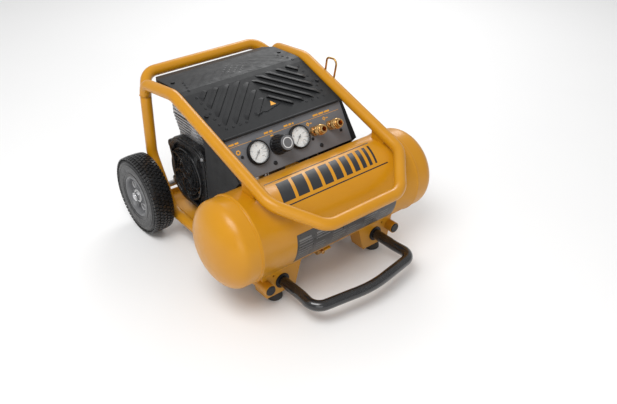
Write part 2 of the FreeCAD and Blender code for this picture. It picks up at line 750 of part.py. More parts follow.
def rounded_outline(half_across, half_up, corner, middle=(0, 0)):
    """Points of a rectangle about a middle point, with its corners cut twice, for moulded covers."""
    near = corner * 0.293
    points = []
    for sign_a, sign_u in ((1, 1), (-1, 1), (-1, -1), (1, -1)):
        trio = [(half_across, half_up - corner), (half_across - near, half_up - near),
                (half_across - corner, half_up)]
        if sign_a * sign_u < 0:
            trio.reverse()
        points += [(middle[0] + sign_a * across, middle[1] + sign_u * up) for across, up in trio]
    return points


def build_fan_cover():
    """A moulded cover over the fan, open at the back, its face cut by a ring of slots."""
    body = make_body("FanCover", (fan_cover_x, pump_y, pump_z))
    half, depth, wall, middle = 88.5, 22, 3.5, (-3, 3)
    outline = make_sketch(body, "fan_cover_outline", "YZ_Plane")
    polygon(outline, rounded_outline(half, half, 48, middle))
    pad(body, outline, depth)
    hollow = make_sketch(body, "fan_cover_hollow", "YZ_Plane", wall)
    polygon(hollow, rounded_outline(half - wall, half - wall, 46, middle))
    pocket(body, hollow, depth, reverse=True)
    slot = make_sketch(body, "fan_cover_slot", "YZ_Plane")
    polygon(slot, [(26, -3.5), (52, -3.5), (72, 3), (72, 10), (52, 3.5), (26, 3.5)])
    opening = pocket(body, slot, wall + 1, reverse=True)
    polar(body, opening, "X_Axis", 18)
    node(body, "fan_cover")


# ---------------------------------------------------------------- shroud

def build_shroud():
    """One moulded cover: top, sloping front, cheeks at both sides, open below and behind."""
    tank_gap = 4
    ease = tank_radius + tank_gap
    body = make_body("Shroud")
    outline = make_sketch(body, "shroud_outline", "YZ_Plane")
    polygon(outline, [
        (278, 368), (278, 385), *SHROUD_TOP, SLOPE_HEAD,
        (panel_top_y - 2, panel_top_z + 3), (panel_top_y - 7, panel_top_z - 1),
        (-87, 264), (tank_y + ease * 0.642, tank_z + ease * 0.766),
        (tank_y + ease * 0.87, tank_z + ease * 0.5), (tank_y + ease * 1.01, tank_z),
        (tank_y + ease * 1.01, 130), (200, 130), (200, 368)])
    pad(body, outline, 2 * shroud_half, midplane=True)
    hollow = make_sketch(body, "shroud_hollow", "YZ_Plane")
    polygon(hollow, [
        (275, 384), (270, 388.8), (239.5, 395.4), (150, 399.5), (134, 398.5), (119, 394),
        (panel_top_y + 2, panel_top_z), (panel_top_y - 30, panel_top_z - 1), (-120, 250), (-120, 100),
        (300, 100), (300, 367), (275, 367)])
    pocket(body, hollow, 2 * (shroud_half - shroud_skin), midplane=True)
    window = make_sketch(body, "shroud_window", "YZ_Plane", -shroud_half - 1)
    polygon(window, [(46, 90), (46, 300), (70, 352), (125, 384), (242, 384), (250, 300), (250, 90)])
    pocket(body, window, 10, reverse=True)
    vents = make_sketch(body, "shroud_vent", "YZ_Plane", shroud_half - 6)
    polygon(vents, [(70, 160), (76, 160), (76, 250), (70, 250)])
    opening = pocket(body, vents, 10, reverse=True)
    row = body.newObject("PartDesign::LinearPattern", "shroud_vent_row")
    row.Originals = [opening]
    row.Direction = ([part for part in body.Origin.OriginFeatures if part.Role == "Y_Axis"][0], [""])
    row.Length = 108
    row.Occurrences = 10
    body.Tip = row
    slots = [slope_slot(index, sign) for index in range(SLOT_COUNT) for sign in (-1, 1)]
    lever_hole = cylinder("lever_hole", 5, 20, (shroud_half - 10, LEVER_Y, LEVER_Z), ALONG_X)
    gland_hole = cylinder("gland_hole", 8, 20, (shroud_half - 10, LEVER_Y, GLAND_Z), ALONG_X)
    corners = [corner_cutter(side, sign) for side, sign in SIDES]
    node(cut("ShroudSlotted", body, slots + corners + [lever_hole, gland_hole]), "shroud_cover")


def corner_cutter(side, sign):
    """Takes one rear corner off the shroud's top, seen from above, so that it narrows inside the hoop."""
    start, end = [Vector(sign * across, along, 360) for across, along in SHROUD_CORNER]
    run = end - start
    item = doc.addObject("Part::Box", f"shroud_corner_{side}")
    item.Length = run.Length
    item.Width = 40
    item.Height = 60
    turn = Rotation(Vector(1, 0, 0), run)
    outward = turn.multVec(Vector(0, 1, 0)) * (0 if sign > 0 else -item.Width.Value)
    item.Placement = FreeCAD.Placement(start + outward, turn)
    return item


def shroud_screws():
    """Round-headed screws: two on the flat top and two part way down the slope."""
    screws = []
    lean = Rotation(Vector(1, 0, 0), SLOPE_ANGLE)
    (back_y, back_z), (front_y, front_z) = SHROUD_TOP[1:3]
    top_fall = Rotation(Vector(1, 0, 0), math.degrees(math.atan2(back_z - front_z, back_y - front_y)))
    seat = 0.02
    for side, sign in SIDES:
        screws.append(cylinder(f"top_screw_{side}", 5, 2.6, (sign * 155, 195, 400.5 + seat), top_fall))
        screws.append(cylinder(f"slope_screw_{side}", 5, 2.6, slope_point(sign * 159, 78, seat), lean))
    return screws


def slope_point(across, up_slope, lift=0.0):
    """A point on the sloping front of the shroud, measured up from the panel's top edge."""
    lean = math.radians(SLOPE_ANGLE)
    return Vector(across, panel_top_y.value - 2 + up_slope * math.cos(lean) - lift * math.sin(lean),
                  panel_top_z.value + 3 + up_slope * math.sin(lean) + lift * math.cos(lean))


def slope_slot(index, sign):
    """One air slot at 45 degrees in the field on one half of the slope; the halves mirror each other."""
    near, far, low, high = SLOT_FIELD
    total = SLOT_FIRST + SLOT_STEP * index
    inner = max(near, total - high)
    outer = min(far, total - low)
    length = (outer - inner) * math.sqrt(2)
    item = doc.addObject("Part::Box", f"slot_{index}_{'right' if sign > 0 else 'left'}")
    item.Length = length
    item.Width = SLOT_WIDTH
    item.Height = 12
    middle = (inner + outer) / 2
    turn = Rotation(Vector(1, 0, 0), SLOPE_ANGLE).multiply(Rotation(Vector(0, 0, 1), -45 * sign))
    shift = turn.multVec(Vector(-length / 2, -SLOT_WIDTH / 2, -8))
    item.Placement = FreeCAD.Placement(slope_point(sign * middle, total - middle) + shift, turn)
    return item


# ---------------------------------------------------------------- control panel

PANEL_TURN = Rotation(Vector(1, 0, 0), 90 - panel_lean.value)


def panel_point(across, drop, out=0):
    """A place on the panel: across it, down from its top edge, and out from its face."""
    across, drop, out = size(across), size(drop), size(out)
    return (across,
            panel_top_y - drop * sine(panel_lean) - out * cosine(panel_lean),
            panel_top_z - drop * cosine(panel_lean) + out * sine(panel_lean))


def build_panel():
    body = make_body("Panel", panel_point(0, 0), PANEL_TURN)
    outline = make_sketch(body, "panel_outline", "XY_Plane")
    polygon(outline, [(-panel_half, -3), (panel_half, -3),
                      (panel_half, -panel_drop), (-panel_half, -panel_drop)])
    pad(body, outline, panel_sheet, reverse=True)
    holes = make_sketch(body, "panel_holes", "XY_Plane", 1)
    for across in (gauge_left_x, gauge_right_x):
        circle(holes, across, -gauge_drop, 20)
    circle(holes, knob_x, -gauge_drop, 12)
    for across in (coupler_left_x, coupler_right_x):
        circle(holes, across, -gauge_drop, 8)
    pocket(body, holes, panel_sheet + 2)
    node(body, "control_panel")
    screws = []
    for index, (across, drop, head) in enumerate(((-134, 48, 3.4), (-58, 86, 4.8), (60, 66, 3.4),
                                                  (78, 87, 4.8), (146, 70, 3.4), (94, 42, 2.6))):
        screws.append(prism(f"panel_screw_{index}", 6, head, 2.4, panel_point(across, drop), PANEL_TURN))
    node(group("CoverScrews", screws + shroud_screws()), "cover_screws")


def build_gauge(side, across):
    """A pressure gauge: cupped case, printed dial, needle on a spindle, and a clear lens."""
    at = panel_point(across, gauge_drop)
    radius = gauge_radius
    inner = gauge_radius - 3.5
    profile = [(1.06, -14), (19.5, -14), (19.5, 0), (radius, 0), (radius, 9), (radius - 1.5, 11),
               (inner, 11), (inner, 3), (1.06, 3)]
    case = turned(f"Gauge_{side}", profile, at, PANEL_TURN)
    dial = ring(f"dial_{side}", inner - 0.1, 1.06, 0.8, panel_point(across, gauge_drop, 3), PANEL_TURN)
    lens = cylinder(f"lens_{side}", inner - 0.1, 1.6, panel_point(across, gauge_drop, 8.4), PANEL_TURN)
    body = make_body(f"Needle_{side}", panel_point(across, gauge_drop, 0), PANEL_TURN)
    spindle = make_sketch(body, f"needle_{side}_spindle", "XY_Plane", -6)
    circle(spindle, 0, 0, 1)
    pad(body, spindle, 13)
    boss = make_sketch(body, f"needle_{side}_boss", "XY_Plane", 5)
    circle(boss, 0, 0, 2.4)
    pad(body, boss, 2)
    pointer = make_sketch(body, f"needle_{side}_pointer", "XY_Plane", 5.4)
    polygon(pointer, [(5, 3.9), (3.9, 5), (-13.1, -12.5), (-12.5, -13.1)])
    pad(body, pointer, 0.8)
    node(body, f"gauge_needle_{side}")
    return case, dial, lens


def build_gauges():
    left = build_gauge("left", gauge_left_x)
    right = build_gauge("right", gauge_right_x)
    for label, pair in zip(("gauge_cases", "gauge_dials", "gauge_lenses"), zip(left, right)):
        node(group(label + "_pair", list(pair)), label)


def build_regulator():
    """Pressure regulator behind the panel, and the big fluted knob in front of it."""
    profile = [(0, -44), (14, -44), (17, -38), (17, -6), (11, -6), (11, 0), (4, 0), (4, 14), (0, 14)]
    node(turned("Regulator", profile, panel_point(knob_x, gauge_drop), PANEL_TURN), "regulator_body")
    start = 1.5
    body = make_body("Knob", panel_point(knob_x, gauge_drop), PANEL_TURN)
    side = make_sketch(body, "knob_side", "XZ_Plane")
    top = knob_radius * 0.83
    hole = 4 + slide_gap
    polygon(side, [(hole, start), (knob_radius, start), (knob_radius, 8), (knob_radius - 1.4, 10),
                   (top, knob_length - 3), (top - 1.5, knob_length - 1.5), (0, knob_length - 1.5),
                   (0, 15), (hole, 15)])
    revolve(body, side, "V_Axis")
    flute = make_sketch(body, "knob_flute", "XY_Plane", 11)
    circle(flute, knob_radius + 0.6, 0, 2.6)
    groove = pocket(body, flute, 40, reverse=True)
    polar(body, groove, "Z_Axis", 16)
    node(body, "regulator_knob")
    cap_at = panel_point(knob_x, gauge_drop, knob_length - 1.5)
    node(cylinder("KnobCap", top - 2, 1.5, cap_at, PANEL_TURN), "knob_cap")


def build_manifold():
    """The air manifold behind the panel, fed by the regulator, with a threaded port for each coupler."""
    deep, shallow, half = -36, -14.2, 12
    start, end = knob_x + 17, coupler_right_x + 16
    bar = doc.addObject("Part::Box", "manifold_bar")
    bind(bar, "Length", end - start)
    bind(bar, "Width", 2 * half)
    bind(bar, "Height", shallow - deep)
    place(bar, panel_point(start, gauge_drop + half, deep), PANEL_TURN)
    ports = []
    for across in (coupler_left_x, coupler_right_x):
        port_at = panel_point(across, gauge_drop, -24)
        ports.append(cylinder(f"port_{len(ports)}", 6.6, 20, port_at, PANEL_TURN))
    node(cut("Manifold", bar, ports), "air_manifold")


def build_couplers():
    """Two quick couplers: a fixed brass body with an open socket, and a sleeve that slides back on it."""
    socket = coupler_socket_radius
    bodies = []
    for side, across in (("left", coupler_left_x), ("right", coupler_right_x)):
        at = panel_point(across, gauge_drop)
        profile = [(3, -23), (6.5, -23), (6.5, 0.3), (9.5, 0.3), (9.5, coupler_length - 2),
                   (8, coupler_length), (socket, coupler_length), (socket, 18), (3, 18)]
        barrel = turned(f"coupler_{side}", profile, at, PANEL_TURN)
        base = prism(f"coupler_{side}_hex", 6, 12.5, 8.5, panel_point(across, gauge_drop, 0.3), PANEL_TURN)
        through = cylinder(f"coupler_{side}_through", 3, 60, panel_point(across, gauge_drop, -30), PANEL_TURN)
        bodies.append(cut(f"coupler_{side}_body", fuse(f"coupler_{side}_blank", [barrel, base]), [through]))
        inner = 9.5 + slide_gap
        sleeve = [(inner, 19), (11.8, 19), (12.6, 21), (12.6, 34), (11.2, 36), (11.2, 38.5), (inner, 38.5)]
        node(turned(f"Sleeve_{side}", sleeve, at, PANEL_TURN), f"coupler_sleeve_{side}")
    node(group("Couplers", bodies), "coupler_bodies")


def build_pressure_switch():
    """The on/off pressure switch behind the panel; its lever comes out through the right cheek."""
    low_x, high_x = 118, 160
    case = box("switch_case", (low_x, LEVER_Y - 24, LEVER_Z - 40), (high_x, LEVER_Y + 24, LEVER_Z + 30))
    hole = cylinder("switch_hole", 4 + slide_gap, 12, (high_x - 12, LEVER_Y, LEVER_Z), ALONG_X)
    node(cut("Switch", case, [hole]), "pressure_switch")
    pivot = cylinder("lever_pivot", 4, 26, (high_x - 8, LEVER_Y, LEVER_Z), ALONG_X)
    arm = box("lever_arm", (176, LEVER_Y - 7, LEVER_Z - 7), (181, LEVER_Y + 34, LEVER_Z + 7))
    grip = cylinder("lever_grip", 5, 12, (174, LEVER_Y + 30, LEVER_Z), ALONG_X)
    node(fuse("Lever", [pivot, arm, grip]), "switch_lever")
    profile = [(4, -6), (7.9, -6), (7.9, 0), (11, 0), (11, 2), (8, 6), (4, 6)]
    node(turned("Gland", profile, (shroud_half, LEVER_Y, GLAND_Z), ALONG_X), "cord_gland")


def build_tank_fittings():
    """Safety valve, check valve and drain valve screwed into the tank, and the air tubes."""
    back = tank_y + tank_radius
    valve_x = 205
    base = prism("safety_hex", 6, 9.5, 12, (valve_x, back - 3, tank_z), ALONG_Y)
    barrel = cylinder("safety_barrel", 7, 24, (valve_x, back + 9, tank_z), ALONG_Y)
    stem_hole = cylinder("safety_bore", 2 + slide_gap, 30, (valve_x, back + 15, tank_z), ALONG_Y)
    blank = fuse("safety_blank", [base, barrel])
    node(cut("SafetyValve", blank, [stem_hole, tank_cutter("safety_tank")]), "safety_valve")
    stem = cylinder("ring_stem", 2, 25, (valve_x, back + 17, tank_z), ALONG_Y)
    loop = doc.addObject("Part::Torus", "ring_loop")
    bind(loop, "Radius1", 8)
    bind(loop, "Radius2", 1.4)
    place(loop, (valve_x, back + 49.5, tank_z), ALONG_X)
    node(fuse("PullRing", [stem, loop]), "safety_valve_ring")

    check_x = -28
    hexagon = prism("check_hex", 6, 10, 22, (check_x, back - 3, tank_z), ALONG_Y)
    neck = cylinder("check_neck", 7, 9, (check_x, back + 19, tank_z), ALONG_Y)
    node(cut("CheckValve", fuse("check_blank", [hexagon, neck]), [tank_cutter("check_tank")]), "check_valve")

    neck_end = (back + 28).value
    head_z = (pump_z + case_deck_height + barrel_height + 8).value
    height = tank_z.value
    head_side = (cylinder_x + fin_half_width).value
    discharge = [(head_side, 100, head_z), (check_x, 100, head_z), (check_x, 12, head_z),
                 (check_x, 12, height), (check_x, neck_end, height)]
    radius, bend = 5.0, 14.0
    path = [Vector(*corner) for corner in discharge]
    shaped("discharge_tube", swept_tube(path, (bend, bend, bend), radius, 1.0))

    run_y = (back + 12).value
    thin = [(check_x + 10.2, run_y, height), (139, run_y, height), (139, LEVER_Y, height),
            (139, LEVER_Y, LEVER_Z - 40)]
    path = [Vector(*corner) for corner in thin]
    shaped("unloader_tube", swept_tube(path, (14.0, 14.0), 2.5, 0.7))

    bottom = tank_z - tank_radius
    inlet = cylinder("drain_inlet", 7, 28, (0, tank_y, bottom - 22))
    block = box("drain_block", (-9, tank_y - 12, bottom - 40), (9, tank_y + 10, bottom - 20))
    spout = cylinder("drain_spout", 5, 10, (0, tank_y - 12, bottom - 30), ALONG_MINUS_Y)
    spindle_hole = cylinder("drain_spindle_hole", 3 + slide_gap, 12, (0, tank_y, bottom - 41))
    tools = [spindle_hole, tank_cutter("drain_tank")]
    node(cut("DrainValve", fuse("drain_blank", [inlet, block, spout]), tools), "drain_valve")
    spindle = cylinder("drain_spindle", 3, 13, (0, tank_y, bottom - 44))
    arm = box("drain_arm", (-7, tank_y - 6, bottom - 44), (38, tank_y + 6, bottom - 41))
    node(fuse("DrainLever", [spindle, arm]), "drain_lever")


def build_cord_hook():
    """A bent wire loop welded to the outside of the right-hand diagonal tube."""
    corners = [(203, 69, 366), (203, 61, 415.5), (203, 24, 420.5), (203, 37, 358)]
    path = [Vector(*corner) for corner in corners]
    front = swept_rod(mirrored_path(FRONT_LOOP), FRONT_BENDS + FRONT_BENDS[::-1], tube_radius.value)
    shaped("cord_hook", swept_rod(path, (11.5, 11.5), 2.5).cut(front))


def main():
    build_tank()
    build_roll_cage()
    build_front_brackets()
    build_feet()
    build_handle_guides()
    build_base_plate()
    build_pull_handle()
    build_axle()
    for side, sign in SIDES:
        build_wheel(side, sign)
    build_crankcase()
    build_cylinder()
    build_piston()
    build_shaft()
    build_motor()
    build_fan()
    build_fan_cover()
    build_shroud()
    build_panel()
    build_gauges()
    build_regulator()
    build_manifold()
    build_couplers()
    build_pressure_switch()
    build_tank_fittings()
    build_cord_hook()
    check_and_write()


def check_and_write():
    """Stop on any failed feature or bad solid, then write one file for each sub-part."""
    doc.recompute()
    for item in doc.Objects:
        if "Invalid" in item.State or "Error" in item.State:
            raise RuntimeError(f"{item.Name} failed: {item.State}")
    for item in nodes:
        shape = item.Shape
        if shape.isNull() or not shape.isValid() or not shape.Solids:
            raise RuntimeError(f"{item.Label} is not a valid solid")
    for item in nodes:
        item.Shape.exportStep(f"parts/{item.Label}.step")
        print(item.Label, len(item.Shape.Solids), round(item.Shape.Volume / 1000, 1), "cm3")


main()
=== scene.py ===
"""Looks of the portable air compressor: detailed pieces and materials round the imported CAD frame.

Metres. X runs across the machine (+X is its right side), -Y is the front with the tank and the pull
handle, +Y the back with the wheels, and Z is up from the floor. Sizes written times MM are millimetres.
"""
import json
import math
import random

import bmesh
import bpy
from mathutils import Matrix, Vector


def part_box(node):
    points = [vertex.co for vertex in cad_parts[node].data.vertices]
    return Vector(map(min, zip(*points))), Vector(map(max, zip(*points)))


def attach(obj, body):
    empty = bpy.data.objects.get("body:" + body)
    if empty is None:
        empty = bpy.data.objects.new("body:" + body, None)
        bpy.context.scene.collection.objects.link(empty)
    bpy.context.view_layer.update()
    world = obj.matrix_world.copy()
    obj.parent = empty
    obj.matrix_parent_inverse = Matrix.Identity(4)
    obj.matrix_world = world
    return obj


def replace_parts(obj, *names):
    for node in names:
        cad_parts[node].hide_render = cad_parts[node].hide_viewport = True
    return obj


MM = 0.001
SIDES = (("left", -1), ("right", 1))
CAGE_TUBE = 13.7 * MM
CAGE_KNEE = Vector((193.5, 266.2, 358.0)) * MM
WHEEL_LIGHTENING_HOLES = 5
GAUGE_RADIUS = 28 * MM
DIAL_START = math.radians(225)
DIAL_SWEEP = math.radians(270)

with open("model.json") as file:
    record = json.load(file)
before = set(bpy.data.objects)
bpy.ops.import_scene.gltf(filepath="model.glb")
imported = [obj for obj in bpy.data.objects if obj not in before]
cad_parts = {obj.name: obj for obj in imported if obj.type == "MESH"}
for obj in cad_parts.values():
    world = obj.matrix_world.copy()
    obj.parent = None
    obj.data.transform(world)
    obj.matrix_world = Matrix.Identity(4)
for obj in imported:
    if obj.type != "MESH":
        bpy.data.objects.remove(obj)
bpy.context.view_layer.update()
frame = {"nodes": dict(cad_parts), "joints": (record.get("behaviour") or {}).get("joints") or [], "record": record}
joints = {joint["name"]: joint for joint in frame["joints"]}
mounts = {mount["name"]: mount for mount in frame["record"]["mounts"]}


# ---------------------------------------------------------------- places read from the frame

def mm(*pairs):
    """Pairs written in millimetres, given back in metres."""
    return [(first * MM, second * MM) for first, second in pairs]


def moved(x, y, z):
    """A shift written in millimetres."""
    return Matrix.Translation((x * MM, y * MM, z * MM))


def spun(index, count):
    """The index-th of count even turns about Z."""
    return Matrix.Rotation(math.tau * index / count, 4, "Z")


def middle(node):
    low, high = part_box(node)
    return (low + high) / 2


def reach(node):
    low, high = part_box(node)
    return high - low


def facing(at, out, up=(0, 0, 1)):
    """A matrix whose Z axis points out, whose Y axis leans towards up, and whose X axis is to the right."""
    out = Vector(out).normalized()
    right = Vector(up).cross(out).normalized()
    turned = Matrix((right, out.cross(right), out)).transposed().to_4x4()
    return Matrix.Translation(Vector(at)) @ turned


PANEL_OUT = Vector(mounts["coupler_left"]["axis"]).normalized()
KNOB_LIFT = 10 * MM
PANEL_ROW_DROP = 50 * MM
panel_row = Vector(joints["knob_turn"]["pos_m"]) - PANEL_OUT * KNOB_LIFT
PANEL = facing((0, panel_row.y, panel_row.z), PANEL_OUT)


def on_panel(across, drop, out=0.0):
    """A matrix on the control panel: across from its middle, down from its top edge, out from its face."""
    return PANEL @ Matrix.Translation((across, PANEL_ROW_DROP - drop, out))


GAUGE_X = {side: joints[f"needle_{side}_turn"]["pos_m"][0] for side, _ in SIDES}
KNOB_X = joints["knob_turn"]["pos_m"][0]
COUPLER_X = {side: mounts[f"coupler_{side}"]["pos_m"][0] for side, _ in SIDES}

TANK = middle("tank_head_left")
TANK.x = 0.0
TANK_RADIUS = reach("tank_head_left").z / 2
TANK_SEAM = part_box("tank_shell")[1].x


def on_tank(x, angle, lift=0.0):
    """A point on the tank's barrel: angle in degrees from its top towards the front."""
    turn = math.radians(angle)
    radius = TANK_RADIUS + lift
    return Vector((x, TANK.y - radius * math.sin(turn), TANK.z + radius * math.cos(turn)))


SHROUD_PROFILE = [Vector((0, y, z)) * MM for y, z in
                  ((-26, 345), (118, 397), (134, 401.5), (150, 402.5), (240, 398.5), (272, 391.5))]
SLOPE_FOOT = SHROUD_PROFILE[0]


def on_shroud(x, run, lift=0.0):
    """A point on the shroud's slope and top, run measured up and back from the panel's top edge."""
    for start, end in zip(SHROUD_PROFILE, SHROUD_PROFILE[1:]):
        length = (end - start).length
        if run <= length or end is SHROUD_PROFILE[-1]:
            break
        run -= length
    direction = (end - start).normalized()
    normal = Vector((1, 0, 0)).cross(direction)
    return Vector((x, 0, 0)) + start + direction * run + normal * lift


def shroud_seat(x, run, lift=0.0):
    """A matrix on the shroud: Z out of its surface, Y up the slope."""
    out = on_shroud(0, run, 1.0) - on_shroud(0, run)
    return facing(on_shroud(x, run, lift), out, (0, 1, 0))


# ---------------------------------------------------------------- materials

class Finish:
    """One procedural material, with short calls for the nodes that the finishes share."""

    def __init__(self, name, colour, roughness, **fixed):
        self.material = bpy.data.materials.new(name)
        self.material.use_nodes = True
        self.material.diffuse_color = (*colour, 1)
        self.tree = self.material.node_tree
        self.shader = self.tree.nodes["Principled BSDF"]
        self.place = self.node("ShaderNodeTexCoord").outputs["Object"]
        self.colour = (*colour, 1)
        self.roughness = roughness
        self.normal = None
        for socket, value in fixed.items():
            self.shader.inputs[socket.replace("_", " ")].default_value = value

    def node(self, kind, **settings):
        item = self.tree.nodes.new(kind)
        for key, value in settings.items():
            setattr(item, key, value)
        return item

    def feed(self, source, socket):
        """Link a node's output to a socket, or set the socket to a plain value."""
        if isinstance(source, bpy.types.NodeSocket):
            self.tree.links.new(source, socket)
        else:
            socket.default_value = source

    def stretched(self, scale):
        mapping = self.node("ShaderNodeMapping")
        self.feed(self.place, mapping.inputs["Vector"])
        mapping.inputs["Scale"].default_value = scale
        return mapping.outputs["Vector"]

    def noise(self, grain, detail=3.0, scale=(1, 1, 1), rough=0.5):
        """Noise from 0 to 1 with grains of the given size."""
        item = self.node("ShaderNodeTexNoise")
        self.feed(self.stretched(scale), item.inputs["Vector"])
        item.inputs["Scale"].default_value = 1 / grain
        item.inputs["Detail"].default_value = detail
        item.inputs["Roughness"].default_value = rough
        return item.outputs["Fac"]

    def cells(self, grain):
        item = self.node("ShaderNodeTexVoronoi")
        self.feed(self.place, item.inputs["Vector"])
        item.inputs["Scale"].default_value = 1 / grain
        return item.outputs["Distance"]

    def span(self, source, start, end, low=0.0, high=1.0):
        """Map a value's range start..end to low..high, held at both ends."""
        item = self.node("ShaderNodeMapRange", clamp=True)
        for name, value in (("From Min", start), ("From Max", end), ("To Min", low), ("To Max", high)):
            item.inputs[name].default_value = value
        self.feed(source, item.inputs["Value"])
        return item.outputs["Result"]

    def height(self):
        parts = self.node("ShaderNodeSeparateXYZ")
        self.feed(self.place, parts.inputs[0])
        return parts.outputs["Z"]

    def tint(self, amount, colour):
        """Mix another colour over the one so far, by amount."""
        item = self.node("ShaderNodeMix", data_type="RGBA")
        self.feed(amount, item.inputs["Factor"])
        self.feed(self.colour, item.inputs[6])
        item.inputs[7].default_value = (*colour, 1)
        self.colour = item.outputs[2]
        return self

    def rub(self, amount):
        """Add a varying amount to the roughness."""
        item = self.node("ShaderNodeMath", operation="ADD", use_clamp=True)
        self.feed(self.roughness, item.inputs[0])
        self.feed(amount, item.inputs[1])
        self.roughness = item.outputs[0]
        return self

    def bump(self, height, depth, strength=1.0):
        item = self.node("ShaderNodeBump")
        self.feed(height, item.inputs["Height"])
        item.inputs["Distance"].default_value = depth
        item.inputs["Strength"].default_value = strength
        if self.normal:
            self.feed(self.normal, item.inputs["Normal"])
        self.normal = item.outputs["Normal"]
        return self

    def done(self):
        self.feed(self.colour, self.shader.inputs["Base Color"])
        self.feed(self.roughness, self.shader.inputs["Roughness"])
        if self.normal:
            self.feed(self.normal, self.shader.inputs["Normal"])
        return self.material


def powder_coat(name, colour, shade, roughness=0.33):
    """Sprayed powder coat: orange-peel skin, a little unevenness, fine rubbed specks and floor dust."""
    made = Finish(name, colour, roughness, Specular_IOR_Level=0.36, Coat_Weight=0.1,
                  Coat_Roughness=0.2)
    made.tint(made.span(made.noise(90 * MM, 2), 0.35, 0.75, 0.0, 0.35), shade)
    made.tint(made.span(made.noise(0.9 * MM, 4), 0.70, 0.80, 0.0, 0.10), shade)
    made.tint(made.span(made.height(), 0.0, 0.09, 0.22, 0.0), (0.30, 0.24, 0.17))
    made.rub(made.span(made.noise(14 * MM, 5), 0.35, 0.75, -0.04, 0.10))
    made.bump(made.noise(2.6 * MM, 2), 0.05 * MM, 0.55)
    made.bump(made.noise(30 * MM, 2), 0.25 * MM, 0.30)
    return made.done()


def gloss_paint(name, colour, roughness=0.2):
    """Black enamel with faint handling scratches along the tube."""
    made = Finish(name, colour, roughness, Coat_Weight=0.5, Coat_Roughness=0.1)
    made.tint(made.span(made.noise(25 * MM, 3), 0.45, 0.80, 0.0, 0.35), (0.035, 0.035, 0.037))
    scratches = made.noise(1.1 * MM, 6, scale=(1, 0.05, 1))
    made.tint(made.span(scratches, 0.66, 0.74, 0.0, 0.25), (0.09, 0.09, 0.09))
    made.rub(made.span(scratches, 0.50, 0.75, 0.0, 0.16))
    made.bump(made.noise(2.2 * MM, 2), 0.04 * MM, 0.5)
    return made.done()


def moulded(name, colour, roughness, gloss=0.32):
    """Moulded plastic: an even spark-eroded texture with slight flow marks and lighter scuffs."""
    lighter = [min(1.0, value * 1.7 + 0.006) for value in colour]
    made = Finish(name, colour, roughness, Specular_IOR_Level=gloss)
    made.tint(made.span(made.noise(60 * MM, 3), 0.35, 0.75, 0.0, 0.35), lighter)
    made.tint(made.span(made.noise(1.6 * MM, 6), 0.66, 0.80, 0.0, 0.22), lighter)
    made.rub(made.span(made.noise(20 * MM, 4), 0.30, 0.70, -0.05, 0.08))
    made.bump(made.cells(0.55 * MM), 0.05 * MM, 0.55)
    return made.done()


def rubber(name, colour, roughness=0.75, gloss=0.35, grain_depth=0.10 * MM):
    """Rubber with a dull bloom, dust low down and a faint mould grain."""
    made = Finish(name, colour, roughness, Specular_IOR_Level=gloss)
    made.tint(made.span(made.noise(18 * MM, 5), 0.42, 0.78, 0.0, 0.45), [value * 2.1 for value in colour])
    made.tint(made.span(made.noise(1.2 * MM, 5), 0.62, 0.80, 0.0, 0.30), [value * 2.8 for value in colour])
    made.tint(made.span(made.height(), 0.0, 0.05, 0.16, 0.0), (0.16, 0.145, 0.125))
    made.rub(made.span(made.noise(9 * MM, 4), 0.35, 0.7, -0.10, 0.08))
    made.bump(made.noise(0.9 * MM, 4), grain_depth, 0.5)
    return made.done()


def machined(name, colour, roughness, scale):
    """Turned or brushed metal: long fine tool marks, stretched by scale, and a few stains."""
    made = Finish(name, colour, roughness, Metallic=1.0)
    marks = made.noise(0.5 * MM, 3, scale=scale)
    made.tint(made.span(marks, 0.40, 0.70, 0.0, 0.40), [value * 0.72 for value in colour])
    made.tint(made.span(made.noise(7 * MM, 4), 0.52, 0.80, 0.0, 0.45), [value * 0.55 for value in colour])
    made.rub(made.span(marks, 0.35, 0.75, -0.05, 0.14))
    made.bump(marks, 0.04 * MM, 0.45)
    return made.done()


def cast_metal(name, colour, roughness=0.5):
    """Sand-cast aluminium: grainy skin, darker in blotches."""
    made = Finish(name, colour, roughness, Metallic=0.75)
    made.tint(made.span(made.noise(9 * MM, 5), 0.38, 0.75, 0.0, 0.55), [value * 0.50 for value in colour])
    made.tint(made.span(made.noise(0.9 * MM, 4), 0.60, 0.80, 0.0, 0.35), [value * 1.5 for value in colour])
    made.rub(made.span(made.noise(4 * MM, 4), 0.35, 0.75, -0.06, 0.14))
    made.bump(made.noise(0.8 * MM, 5), 0.22 * MM, 0.6)
    made.bump(made.noise(4 * MM, 3), 0.30 * MM, 0.3)
    return made.done()


def printed(name, colour, roughness=0.45):
    """Ink or a printed film: slight mottling, and a grain that catches the light."""
    made = Finish(name, colour, roughness)
    made.tint(made.span(made.noise(3 * MM, 5), 0.40, 0.80, 0.0, 0.25), [value * 0.72 for value in colour])
    made.rub(made.span(made.noise(6 * MM, 4), 0.35, 0.75, -0.05, 0.10))
    made.bump(made.noise(0.5 * MM, 3), 0.02 * MM, 0.4)
    return made.done()


def clear_glass(name):
    """A clear lens: mostly see-through, with a gloss that varies like a wiped surface."""
    made = Finish(name, (0.92, 0.95, 0.96), 0.04, Alpha=0.12, IOR=1.48)
    made.tint(made.span(made.noise(9 * MM, 4), 0.4, 0.8, 0.0, 0.2), (0.80, 0.84, 0.86))
    made.rub(made.span(made.noise(12 * MM, 5), 0.45, 0.80, 0.0, 0.12))
    made.bump(made.noise(14 * MM, 2), 0.02 * MM, 0.3)
    return made.done()


